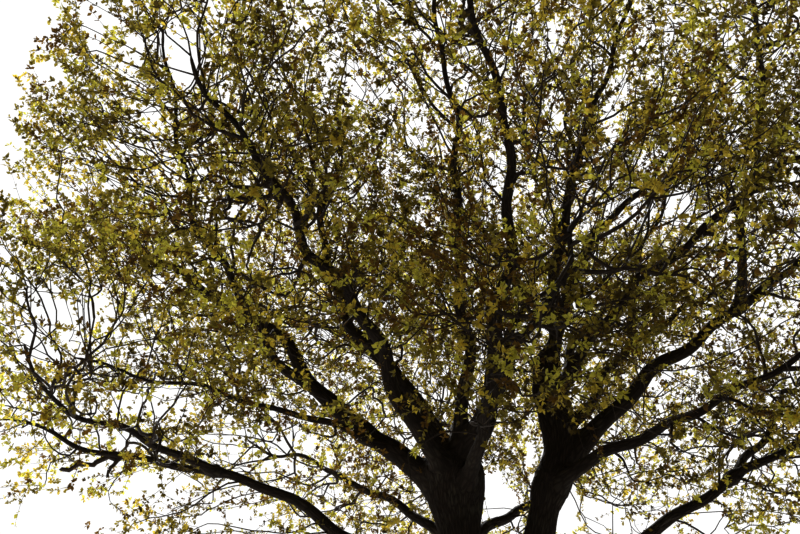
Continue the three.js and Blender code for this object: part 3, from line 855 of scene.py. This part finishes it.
def crown_depth(points):
    """Where points stand in the crown: 0 in its middle and 1 on its surface, more outside it."""
    across = np.hypot(points[:, 0], points[:, 1])
    above = points[:, 2] > CROWN_WIDEST_AT
    span = np.where(above, CROWN_TOP - CROWN_MARGIN - CROWN_WIDEST_AT, CROWN_WIDEST_AT * UNDERSIDE_STRETCH)
    lift = np.abs(points[:, 2] - CROWN_WIDEST_AT) / span
    out = across / (CROWN_RADIUS - CROWN_MARGIN)
    depth = lift ** CROWN_DOME_POWER + out ** CROWN_DOME_POWER
    wave = noise_at(points, BAY_SPACING)
    away = away_from_boughs(points)
    bay = BAY_DEPTH * away * (1 + BAY_WAVE * wave)
    hollow = HOLLOW_DEPTH * np.clip((noise_at(points, HOLLOW_SPACING) - HOLLOW_FROM) * HOLLOW_EDGE, 0, 1)
    bay += hollow * (HOLLOW_AT_BOUGH + (1 - HOLLOW_AT_BOUGH) * away)
    skirt = SKIRT_MIDDLE + (SKIRT_EDGE - SKIRT_MIDDLE) * np.minimum(1, across / CROWN_RADIUS)
    below = points[:, 2] < skirt + SKIRT_LIFT * away + SKIRT_WAVE * wave
    return np.where(below, OUTSIDE, depth * (1 + bay))


def share_in_views(points, views, eye, pitch, lens):
    """The share that the ovals of the photo give to each point that falls inside them."""
    away = points - np.array(eye)
    forward = away[:, 1] * cos(pitch) + away[:, 2] * sin(pitch)
    rise = away[:, 2] * cos(pitch) - away[:, 1] * sin(pitch)
    scale = lens / SENSOR_WIDTH * PHOTO_WIDTH / np.maximum(forward, NEAREST_SEEN)
    across = PHOTO_WIDTH / 2 + away[:, 0] * scale
    down = PHOTO_HEIGHT / 2 - rise * scale
    ragged = 1 + GAP_RAGGED * noise_at(points, GAP_RAGGED_SPACING)
    share = np.zeros(len(points))
    for view in views:
        far = ((across - view.across) / view.half_width) ** 2 + ((down - view.down) / view.half_height) ** 2
        share = np.maximum(share, view.share * np.clip(GAP_EDGE * (1 - far * ragged), 0, 1))
    return np.where(forward > 0, share, 0)


def spread_shoots(spacing, heart_density, view):
    """Points spread through the crown in clumps, fewer in its heart, near its top and between its
    masses, and hardly any against open sky or before the limbs that the photo shows clear."""
    random = np.random.default_rng(SEED)
    reach = np.arange(-CROWN_RADIUS, CROWN_RADIUS, spacing)
    heights = np.arange(SKIRT_EDGE, CROWN_TOP, spacing)
    grid = np.stack(np.meshgrid(reach, reach, heights, indexing="ij"), axis=-1).reshape(-1, 3)
    grid += random.uniform(-SHOOT_JITTER, SHOOT_JITTER, grid.shape) * spacing
    depth = crown_depth(grid)
    chance = heart_density + (1 - heart_density) * np.clip((depth - OPEN_HEART) / HEART_FADE, 0, 1)
    chance *= 1 - THIN_TOP * np.clip((grid[:, 2] - THIN_FROM) / THIN_OVER, 0, 1)
    full = share_in_views(grid, FULL_MASSES, *view)
    between_clumps = np.clip(0.5 - CLUMP_EDGE * noise_at(grid, CLUMP_SPACING), 0, 1)
    chance *= 1 - (1 - full) * CLUMP_DEPTH * between_clumps
    chance *= BETWEEN_MASSES + (1 - BETWEEN_MASSES) * full
    chance *= 1 - share_in_views(grid, SKY_GAPS, *view)
    chance *= 1 - np.where(grid[:, 1] < CLEAR_TO, share_in_views(grid, CLEAR_VIEWS, *view), 0)
    return grid[(depth < 1) & (random.random(len(grid)) < chance)]


class Crown(NamedTuple):
    """All the nodes of the crown: where each stands, how thick it is, how many shoots it bears, its
    heir, the four points that bend the stretch that leads to it, and whether it grew on a bough."""
    points: np.ndarray
    radius: np.ndarray
    load: np.ndarray
    heir: np.ndarray
    bends: np.ndarray
    grown: np.ndarray


def join_shoots(shoots, bough_points):
    """Joins each shoot to wood that is near it, that it leads outwards from, and that has a short
    way back to the bough."""
    count = len(bough_points)
    points = np.concatenate((bough_points, np.empty_like(shoots)))
    path = np.zeros(len(points))
    parent = np.full(len(points), -1)
    forks = np.zeros(len(points), dtype=int)
    for shoot, outward in zip(shoots, unit(shoots - GROWS_FROM)):
        ahead = shoot - points[:count]
        gap = np.linalg.norm(ahead, axis=1)
        cost = gap + TURN_WEIGHT * (gap - ahead @ outward) + PATH_WEIGHT * path[:count]
        cost[forks[:count] >= MOST_FORKS] = np.inf
        best = int(np.argmin(cost))
        if gap[best] > LONGEST_JOIN:
            continue
        points[count] = shoot
        parent[count] = best
        forks[best] += 1
        path[count] = path[best] + gap[best]
        count += 1
    return points[:count], parent[:count]


def share_out(shoots):
    """The number of the bough that is nearest to each shoot for its reach, or -1 where there is
    none or the shoot would stand in a bough, and how near it is."""
    nearest = np.ones(len(shoots))
    owner = np.full(len(shoots), -1)
    foot_reach, end_reach = MASS_REACH
    for index, (shares, places, radii) in enumerate(leafy_stretches()):
        gaps = np.linalg.norm(shoots[:, None] - places, axis=2)
        gap = (gaps / (foot_reach + (end_reach - foot_reach) * shares)).min(axis=1)
        closer = gap < nearest
        nearest = np.where(closer, gap, nearest)
        owner = np.where(closer, index, owner)
        inside = (gaps < radii + LIMB_CLEARANCE).any(axis=1)
        owner[inside] = -1
        nearest[inside] = 0
    return owner, nearest


def join_to_boughs(shoots):
    """Joins every shoot to its bough. Gives, for all the nodes of the boughs and of what grew: where
    each stands, its parent if it grew, the node before it, whether it grew, and a bough's radius."""
    owner, nearest = share_out(shoots)
    parts = []
    base = 0
    for index, (_, own, radii) in enumerate(leafy_stretches()):
        mine = np.flatnonzero(owner == index)
        points, parent = join_shoots(shoots[mine[np.argsort(nearest[mine])]], own)
        grown = parent >= 0
        before = np.where(grown, parent, np.maximum(np.arange(len(points)) - 1, 0))
        radius = np.concatenate((radii, np.zeros(len(points) - len(own))))
        parts.append((points, np.where(grown, parent + base, -1), before + base, grown, radius))
        base += len(points)
    return (np.concatenate(part) for part in zip(*parts))


def bear_shoots(parent, grown):
    """How many shoots every node bears, and its heir: the node that bears most of those that a
    grown node leads to."""
    load = np.ones(len(parent), dtype=int)
    heir = np.full(len(parent), -1)
    for node in range(len(parent) - 1, -1, -1):
        up = parent[node]
        if up >= 0:
            load[up] += load[node]
            if grown[up] and (heir[up] < 0 or load[node] > load[heir[up]]):
                heir[up] = node
    return load, heir


@lru_cache(maxsize=None)
def grow_crown(spacing, heart_density, thinnest, view):
    """Grows the whole crown on the boughs, thickens it by what it bears and bends it smooth."""
    shoots = spread_shoots(spacing, heart_density, view)
    points, parent, previous, grown, radius = join_to_boughs(shoots)
    load, heir = bear_shoots(parent, grown)
    for node in np.flatnonzero(grown):
        borne_by = radius[parent[node]] * (1 if grown[parent[node]] else SIDE_SHARE)
        radius[node] = min(borne_by, thinnest * load[node] ** PIPE_POWER)
    runs_on = heir >= 0
    middle = (points[previous[runs_on]] + points[heir[runs_on]]) / 2
    points[runs_on] += (middle - points[runs_on]) * STRAIGHTEN

    start = points[previous]
    stretch = points - start
    span = np.linalg.norm(stretch, axis=1, keepdims=True)
    before = start - unit(start - points[previous[previous]]) * span
    onward = np.where(runs_on[:, None], points[heir] - points, stretch)
    bends = np.stack((before, start, points, points + unit(onward) * span), axis=1)
    return Crown(points, radius, load, heir, bends, grown)


def along_bend(bends, share):
    """Points at shares of smooth stretches, each bent by the four points round it."""
    before, start, end, after = (bends[..., k, :] for k in range(4))
    t = share[..., None]
    slow = 2 * start + (end - before) * t
    fast = (2 * before - 5 * start + 4 * end - after) * t ** 2
    last = (3 * start - before - 3 * end + after) * t ** 3
    return (slow + fast + last) / 2


def grown_strands(crown):
    """Cuts the grown nodes into strands, each running on into the node that bears most, and sorts
    them into branches and twigs."""
    random = np.random.default_rng(SEED + 1)
    branches, twigs = [], []
    is_heir = np.zeros(len(crown.points), dtype=bool)
    is_heir[crown.heir[crown.heir >= 0]] = True
    for node in np.flatnonzero(crown.grown & ~is_heir):
        run = [node]
        while crown.heir[run[-1]] >= 0:
            run.append(crown.heir[run[-1]])
        is_branch = crown.load[node] >= BRANCH_LOAD
        is_fine = crown.load[node] <= FINE_LOAD
        steps = BRANCH_STEPS if is_branch else FINE_STEPS if is_fine else TWIG_STEPS
        shares = np.tile(np.arange(1, steps + 1) / steps, len(run))
        bends = np.repeat(crown.bends[run], steps, axis=0)
        points = np.concatenate((crown.bends[node, 1][None], along_bend(bends, shares)))
        sway = random.normal(0, WANDER, points.shape) * np.linalg.norm(points[1] - points[0])
        on_node = np.arange(len(points)) % steps == 0
        points = points + np.where(on_node[:, None], 0, sway)

        at_nodes = crown.radius[[node, *run]]
        radii = np.interp(np.arange(len(points)) / steps, np.arange(len(at_nodes)), at_nodes)
        run_on = np.linalg.norm(points - points[0], axis=1)
        radii = radii * (1 + ROOT_COLLAR * np.exp(-run_on / ROOT_COLLAR_LENGTH))
        (branches if is_branch else twigs).append((points, radii))
    return branches, twigs


def stub_strands():
    """The broken stubs, crooked and blunt."""
    random = np.random.default_rng(SEED + 4)
    strands = []
    for stub in STUBS:
        shares = np.append(np.arange(STUB_STEPS) / (STUB_STEPS - 1), 1.0)
        way = unit(np.array(stub.way))
        points = limb_forms()[stub.on].line(stub.at) + shares[:, None] * stub.length * way
        points[1:-1] += random.normal(0, STUB_KINK * stub.length, (STUB_STEPS - 1, 3))
        points[-1] = points[-2] + stub.foot * way
        strands.append((points, stub.foot * (1 - (1 - STUB_END) * shares)))
    return strands


def leaf_shape(kind, width, fold):
    """The points and triangles of a leaf one long, the second half turned over from the first."""
    half = width / 2
    right = [(along, out * half, out * half * np.tan(fold)) for along, out in kind.lobes]
    left = [(along, -out, lift) for along, out, lift in right]
    other = [tuple(k + len(right) if k > 1 else k for k in face)[::-1] for face in kind.faces]
    return np.array([(0, 0, 0), (1, 0, 0), *right, *left]), np.array([*kind.faces, *other])


class Leaves(NamedTuple):
    """Where every leaf starts, the way it points, the way its face looks, its size, the number of
    its shape, and its spray."""
    base: np.ndarray
    along: np.ndarray
    facing: np.ndarray
    size: np.ndarray
    shape: np.ndarray
    spray: np.ndarray


def spread_leaves(crown, length, per_spray):
    """Sets the leaves in whorls on every thin shoot, the fullest whorl at its end."""
    random = np.random.default_rng(SEED + 2)
    shoots = np.flatnonzero(crown.grown & (crown.load <= LEAFY_LOAD))
    counts = np.maximum(FEWEST_LEAVES, random.poisson(per_spray, len(shoots)))
    spray = np.repeat(np.arange(len(shoots)), counts)
    total = len(spray)
    first = np.repeat(np.cumsum(counts) - counts, counts)
    number = np.arange(total) - first
    whorl_at, whorl_part = np.array(WHORLS).T
    whorl = np.searchsorted(np.cumsum(whorl_part)[:-1], (number + 0.5) / counts[spray])
    share = whorl_at[whorl] + random.uniform(-WHORL_LENGTH, WHORL_LENGTH, total)
    bends = crown.bends[shoots][spray]
    base = along_bend(bends, np.minimum(share, 1))
    shoot = unit(bends[:, 2] - bends[:, 1])

    side = unit(np.cross(shoot, UP) + OFF_LEVEL[0])
    quarter = np.cross(shoot, side)
    turn = (number * GOLDEN_TURN + random.uniform(0, 2 * pi, len(shoots))[spray])[:, None]
    around = side * np.cos(turn) + quarter * np.sin(turn)
    lean = random.uniform(*WHORL_LEAN, total)[:, None]
    along = unit(shoot * np.cos(lean) + around * np.sin(lean) + random.normal(0, LEAF_SCATTER, (total, 3)))
    facing = UP * FACES_UP + shoot * FACES_ALONG + random.normal(0, FACES_ANYHOW, (total, 3))
    facing = unit(facing - along * (facing * along).sum(axis=1)[:, None])
    shape = random.choice(len(LEAF_SHAPES), total, p=[kind.share for kind in LEAF_SHAPES])
    size = length * np.clip(random.normal(1, LEAF_SIZE_SPREAD, total), *LEAF_SIZE_LIMITS)
    size = size * np.array([kind.size for kind in LEAF_SHAPES])[shape]
    return Leaves(base, along, facing, size, shape, spray), crown.points[shoots]


def deal_tints(places):
    """A tint for every spray, dealt out by share, with near sprays more often alike. The dark tints at both
    ends of the row fall mostly in the heart of the crown, as painted shade there, and the lighter tints fall
    more towards its surface. The bronze hue itself is the young leaves' own colour."""
    random = np.random.default_rng(SEED + 3)
    patch = noise_at(places, TINT_PATCH)
    value = TINT_PATCH_WEIGHT * patch / patch.std() + random.normal(0, 1, len(places))
    outward = np.clip(np.linalg.norm(places - CROWN_MIDDLE, axis=1) / CROWN_RADIUS, 0, 1)
    # Sprays near the crown's middle draw the dark end tints more often: painted shade in the heart.
    value *= PAINTED_SHADE_TINT_RANGE[0] + (PAINTED_SHADE_TINT_RANGE[1] - PAINTED_SHADE_TINT_RANGE[0]) * outward
    rank = value.argsort().argsort() / len(places)
    return np.searchsorted(np.cumsum(TINT_SHARES)[:-1], rank)


def leaf_mesh(name, leaves, kept, width, fold):
    """One mesh of the kept leaves, one shape after another."""
    all_points, all_corners = [], []
    placed = 0
    for number, kind in enumerate(LEAF_SHAPES):
        shape, faces = leaf_shape(kind, width, fold)
        these = np.flatnonzero(kept & (leaves.shape == number))
        base, along, facing = leaves.base[these], leaves.along[these], leaves.facing[these]
        across = np.cross(facing, along)
        size = leaves.size[these][:, None, None]
        out = along[:, None] * shape[:, 0, None] + across[:, None] * shape[:, 1, None]
        points = base[:, None] + size * (out + facing[:, None] * shape[:, 2, None])
        corners = placed + np.arange(len(base))[:, None, None] * len(shape) + faces
        all_points.append(points.reshape(-1, 3))
        all_corners.append(corners.ravel())
        placed += points.size // 3
    corners = np.concatenate(all_corners)
    return mesh_of(name, np.concatenate(all_points), corners, np.full(len(corners) // 3, 3))


def add_node(tree, kind, settings=None, **inputs):
    """A shader node with its settings, and its inputs set or joined. An input is given by its name,
    or by an underscore and its number."""
    node = tree.nodes.new(kind)
    for key, value in (settings or {}).items():
        setattr(node, key, value)
    for key, value in inputs.items():
        socket = node.inputs[int(key[1:])] if key[0] == "_" else node.inputs[key.replace("_", " ")]
        if isinstance(value, bpy.types.NodeSocket):
            tree.links.new(value, socket)
        else:
            socket.default_value = value
    return node


def start_material(name):
    """A new material with an empty node tree, and the object's coordinates in it."""
    old = bpy.data.materials.get(name)
    if old:
        bpy.data.materials.remove(old)
    material = bpy.data.materials.new(name)
    material.use_nodes = True
    tree = material.node_tree
    tree.nodes.clear()
    return material, tree, add_node(tree, "ShaderNodeTexCoord").outputs["Object"]


def finish_tree(tree, shader, kind="ShaderNodeOutputMaterial"):
    """Joins a shader to a new output of its tree."""
    tree.links.new(shader.outputs[0], tree.nodes.new(kind).inputs["Surface"])


def add_noise(tree, place, output="Fac", **settings):
    """A noise pattern at the given places."""
    return add_node(tree, "ShaderNodeTexNoise", Vector=place, **settings).outputs[output]


def add_bump(tree, height, **settings):
    """A bumped surface, as the normal for a shader."""
    return add_node(tree, "ShaderNodeBump", Height=height, **settings).outputs["Normal"]


def add_range(tree, value, **limits):
    """A value brought from one range to another."""
    return add_node(tree, "ShaderNodeMapRange", Value=value, **limits).outputs["Result"]


def add_math(tree, kind, operation, *values):
    """The result of an operation on values or joined outputs."""
    inputs = {f"_{number}": value for number, value in enumerate(values)}
    return add_node(tree, kind, {"operation": operation}, **inputs).outputs[0]


def times(colour, factor):
    """A colour made darker or lighter by a factor."""
    return tuple(min(1, channel * factor) for channel in colour)


def blend_colours(tree, factor, first, second):
    """A colour between two, by a factor."""
    colours = {"_6": first, "_7": second}
    for key, colour in colours.items():
        if not isinstance(colour, bpy.types.NodeSocket):
            colours[key] = (*colour, 1)
    return add_node(tree, "ShaderNodeMix", {"data_type": "RGBA"}, _0=factor, **colours).outputs[2]


def bark_material(wood):
    """Furrowed oak bark: dark cracks, grey-brown ridges with fine grain, and thin lichen."""
    material, tree, place = start_material("oak_bark")
    grain = add_node(tree, "ShaderNodeAttribute", {"attribute_name": "grain"}).outputs["Vector"]
    drawn = add_node(tree, "ShaderNodeMapping", Vector=grain, Scale=BARK_SCALE).outputs["Vector"]
    warp = add_noise(tree, drawn, "Color", Scale=0.8, Detail=3.0)
    bent = add_math(tree, "ShaderNodeVectorMath", "MULTIPLY_ADD", warp, CRACK_BEND, drawn)
    crack = add_node(tree, "ShaderNodeTexVoronoi", {"feature": "DISTANCE_TO_EDGE"}, Vector=bent, Scale=1.0)
    ridge = add_range(tree, crack.outputs["Distance"], From_Min=0.02, From_Max=0.34)
    fine = add_noise(tree, drawn, Scale=5.0, Detail=6.0, Roughness=0.7)
    broad = add_noise(tree, place, Scale=1.7, Detail=5.0)
    patches = add_range(tree, broad, From_Min=0.52, From_Max=0.7, To_Max=0.55)

    shaded = blend_colours(tree, ridge, wood.furrow_colour, wood.ridge_colour)
    grained = blend_colours(tree, fine, times(wood.ridge_colour, DULL_RIDGE), shaded)
    lichen_on_ridge = add_math(tree, "ShaderNodeMath", "MULTIPLY", patches, ridge)
    coloured = blend_colours(tree, lichen_on_ridge, grained, wood.lichen_colour)
    height = add_math(tree, "ShaderNodeMath", "MULTIPLY_ADD", fine, FINE_HEIGHT, ridge)
    rough = add_range(tree, fine, To_Min=0.82, To_Max=0.98)
    shader = add_node(tree, "ShaderNodeBsdfPrincipled", Base_Color=coloured, Roughness=rough,
                      Specular_IOR_Level=0.25, Normal=add_bump(tree, height, Strength=0.8, Distance=0.012))
    finish_tree(tree, shader)
    return material


def twig_material(wood):
    """The smoother bark of young wood, a little blotched."""
    material, tree, place = start_material("twig_bark")
    blotch = add_noise(tree, place, Scale=9.0, Detail=5.0)
    colour = blend_colours(tree, blotch, times(wood.twig_colour, DARK_TWIG), wood.twig_colour)
    grain = add_noise(tree, place, Scale=80.0, Detail=3.0)
    shader = add_node(tree, "ShaderNodeBsdfPrincipled", Base_Color=colour, Roughness=0.8,
                      Specular_IOR_Level=0.3, Normal=add_bump(tree, grain, Strength=0.4, Distance=0.004))
    finish_tree(tree, shader)
    return material


def leaf_material(name, colour, see_through):
    """A thin leaf: a dull gloss, and light that comes through it in its own colour."""
    material, tree, place = start_material(name)
    mottle = add_noise(tree, place, Scale=14.0, Detail=3.0)
    spread = add_range(tree, mottle, From_Min=0.3, From_Max=0.7)
    top = blend_colours(tree, spread, times(colour, DARK_LEAF), times(colour, LIGHT_LEAF))
    veins = add_noise(tree, place, Scale=160.0, Detail=2.0)
    shader = add_node(tree, "ShaderNodeBsdfPrincipled", Base_Color=top, Roughness=0.5,
                      Specular_IOR_Level=0.4, Normal=add_bump(tree, veins, Strength=0.3, Distance=0.003))
    through = add_node(tree, "ShaderNodeBsdfTranslucent", Color=top)
    mixed = add_node(
        tree, "ShaderNodeMixShader", Fac=see_through, _1=shader.outputs[0], _2=through.outputs[0])
    finish_tree(tree, mixed)
    return material


def new_object(name, data):
    """A new object in the scene, in place of an old one of the same name."""
    old = bpy.data.objects.get(name)
    if old:
        bpy.data.objects.remove(old)
    made = bpy.data.objects.new(name, data)
    bpy.context.scene.collection.objects.link(made)
    return made


def add_piece(name, mesh, material, slot, *nodes):
    """An object for a finished mesh that rides on the tree and stands for its nodes."""
    mesh.materials.append(material)
    piece = new_object(name, mesh)
    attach(piece, "root")
    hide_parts(*nodes)


def add_limb(name, sides, rings, wood, material):
    """The bark of a limb, in place of the limb's node."""
    form = limb_forms()[name]
    piece = f"{form.node}_bark"
    mesh = dress_limb(piece, form, sides, rings, wood, limbs_beside(name))
    add_piece(piece, mesh, material, "bark", form.node)


def crown_of(scene):
    """The grown crown for the scene's settings."""
    crown, stage = scene.oak_crown, scene.oak_stage
    view = (tuple(stage.eye), stage.pitch, stage.lens)
    return grow_crown(crown.shoot_spacing, crown.heart_density, scene.oak_wood.twig_radius, view)


class OAK_OT_trunk(bpy.types.Operator):
    """Dress the trunk and the two stems with furrowed bark"""
    bl_idname = "oak.trunk"
    bl_label = "Trunk and stems"

    def execute(self, context):
        wood = context.scene.oak_wood
        material = bark_material(wood)
        for name, (sides, rings) in RING_SIZES.items():
            add_limb(name, sides, rings, wood, material)
        return {"FINISHED"}


class OAK_OT_boughs(bpy.types.Operator):
    """Dress the boughs with furrowed bark"""
    bl_idname = "oak.boughs"
    bl_label = "Boughs"

    def execute(self, context):
        wood = context.scene.oak_wood
        material = bpy.data.materials.get("oak_bark") or bark_material(wood)
        for bough in BOUGHS:
            sides = int(np.clip(2 * pi * bough.foot / BOUGH_CELL, *BOUGH_SIDES))
            rings = round(limb_forms()[bough.name].length / (BOUGH_CELL * BOUGH_RING_STRETCH))
            add_limb(bough.name, sides, rings, wood, material)
        return {"FINISHED"}


class OAK_OT_branches(bpy.types.Operator):
    """Grow the side branches and the twigs on the boughs"""
    bl_idname = "oak.branches"
    bl_label = "Branches and twigs"

    def execute(self, context):
        wood = context.scene.oak_wood
        material = twig_material(wood)
        branches, twigs = grown_strands(crown_of(context.scene))
        if not branches or not twigs:
            raise RuntimeError("Nothing grew on the boughs: the shoots are too far apart")
        branches += stub_strands()
        for name, strands, sides in (("branches", branches, BRANCH_SIDES), ("twigs", twigs, TWIG_SIDES)):
            add_piece(name, tubes(name, strands, sides), material, "bark", *mass_nodes())
        return {"FINISHED"}


class OAK_OT_leaves(bpy.types.Operator):
    """Set sprays of young lobed leaves on the thin shoots"""
    bl_idname = "oak.leaves"
    bl_label = "Leaves"

    def execute(self, context):
        leaf = context.scene.oak_leaf
        leaves, places = spread_leaves(crown_of(context.scene), leaf.length, leaf.per_spray)
        tints = deal_tints(places)[leaves.spray]
        for number, tint in enumerate(TINTS):
            name = f"leaf_sprays_{tint}"
            kept = tints == number
            if not kept.any():
                raise RuntimeError(f"No spray was given the tint {tint}")
            mesh = leaf_mesh(name, leaves, kept, leaf.width / leaf.length, leaf.fold)
            material = leaf_material(f"leaf_{tint}", tuple(getattr(leaf, tint)), leaf.see_through)
            add_piece(name, mesh, material, "leaf", *mass_nodes())
        return {"FINISHED"}


def floor_material(colour):
    """A plain pale floor with the faintest mottle."""
    material, tree, place = start_material("pale_floor")
    mottle = add_noise(tree, place, Scale=0.6, Detail=4.0)
    mixed = blend_colours(tree, mottle, times(colour, DIM_FLOOR), colour)
    finish_tree(tree, add_node(tree, "ShaderNodeBsdfPrincipled", Base_Color=mixed, Roughness=0.95))
    return material


def pale_light(stage):
    """A white sky that looks brighter than the light it gives, as behind a tree against the sun."""
    world = bpy.data.worlds.new("pale_light")
    world.use_nodes = True
    tree = world.node_tree
    tree.nodes.clear()
    fill = add_node(tree, "ShaderNodeBackground", Color=(*stage.fill_colour, 1), Strength=stage.fill_strength)
    seen = add_node(tree, "ShaderNodeBackground", Color=(*stage.sky_colour, 1), Strength=stage.sky_strength)
    looked_at = add_node(tree, "ShaderNodeLightPath").outputs["Is Camera Ray"]
    either = add_node(tree, "ShaderNodeMixShader", Fac=looked_at, _1=fill.outputs[0], _2=seen.outputs[0])
    finish_tree(tree, either, "ShaderNodeOutputWorld")
    return world


def add_floor(stage):
    """The round floor."""
    shape = bmesh.new()
    bmesh.ops.create_circle(shape, cap_ends=True, segments=FLOOR_SIDES, radius=stage.floor_radius)
    mesh = bpy.data.meshes.new("floor")
    shape.to_mesh(mesh)
    shape.free()
    mesh.materials.append(floor_material(stage.floor_colour))
    new_object("floor", mesh)


def add_lamp(stage):
    """The soft lamp behind the crown."""
    lamp = bpy.data.lights.new("soft_lamp", "SUN")
    lamp.energy = stage.lamp_strength
    lamp.angle = stage.lamp_softness
    turn = (pi / 2 - stage.lamp_height, 0, stage.lamp_bearing + pi / 2)
    new_object("soft_lamp", lamp).rotation_euler = turn


def add_camera(stage):
    """The camera, at the photo's angle."""
    camera = bpy.data.cameras.new("camera")
    camera.lens = stage.lens
    camera.sensor_width = SENSOR_WIDTH
    camera.clip_end = SEEN_TO
    placed = new_object("camera", camera)
    placed.location = stage.eye
    placed.rotation_euler = (pi / 2 + stage.pitch, 0, 0)
    bpy.context.scene.camera = placed


class OAK_OT_stage(bpy.types.Operator):
    """Set the pale floor, the soft light and the camera"""
    bl_idname = "oak.stage"
    bl_label = "Stage"

    def execute(self, context):
        scene = context.scene
        add_floor(scene.oak_stage)
        add_lamp(scene.oak_stage)
        add_camera(scene.oak_stage)
        scene.world = pale_light(scene.oak_stage)
        scene.view_settings.view_transform = "Standard"
        scene.view_settings.gamma = PICTURE_GAMMA
        return {"FINISHED"}


class OAK_PT_panel(bpy.types.Panel):
    """Lists the steps that dress the oak"""
    bl_idname = "OAK_PT_panel"
    bl_label = "Oak"
    bl_space_type = "VIEW_3D"
    bl_region_type = "UI"
    bl_category = "Oak"

    def draw(self, context):
        for title, name, steps in STEPS:
            box = self.layout.box()
            box.label(text=title)
            settings = getattr(context.scene, name)
            for key in settings.bl_rna.properties.keys():
                if key not in ("rna_type", "name"):
                    box.prop(settings, key)
            for step in steps:
                box.operator(step.bl_idname)


STEPS = (
    ("Stage", "oak_stage", (OAK_OT_stage,)),
    ("Wood", "oak_wood", (OAK_OT_trunk, OAK_OT_boughs)),
    ("Crown", "oak_crown", (OAK_OT_branches,)),
    ("Leaves", "oak_leaf", (OAK_OT_leaves,)),
)
SETTINGS = {
    "oak_stage": StageSettings,
    "oak_wood": WoodSettings,
    "oak_crown": CrownSettings,
    "oak_leaf": LeafSettings,
}
CLASSES = (*SETTINGS.values(), OAK_OT_stage, OAK_OT_trunk, OAK_OT_boughs, OAK_OT_branches,
           OAK_OT_leaves, OAK_PT_panel)


def register():
    """Adds the settings, the operators and the panel to Blender."""
    for item in CLASSES:
        bpy.utils.register_class(item)
    for name, settings in SETTINGS.items():
        setattr(bpy.types.Scene, name, PointerProperty(type=settings))


def unregister():
    """Takes them away again."""
    for name in SETTINGS:
        delattr(bpy.types.Scene, name)
    for item in reversed(CLASSES):
        bpy.utils.unregister_class(item)


def main():
    """Dresses the oak, step by step."""
    register()
    bpy.ops.oak.stage()
    bpy.ops.oak.trunk()
    bpy.ops.oak.boughs()
    bpy.ops.oak.branches()
    bpy.ops.oak.leaves()
    bpy.context.view_layer.update()


if __name__ == "__main__":
    main()
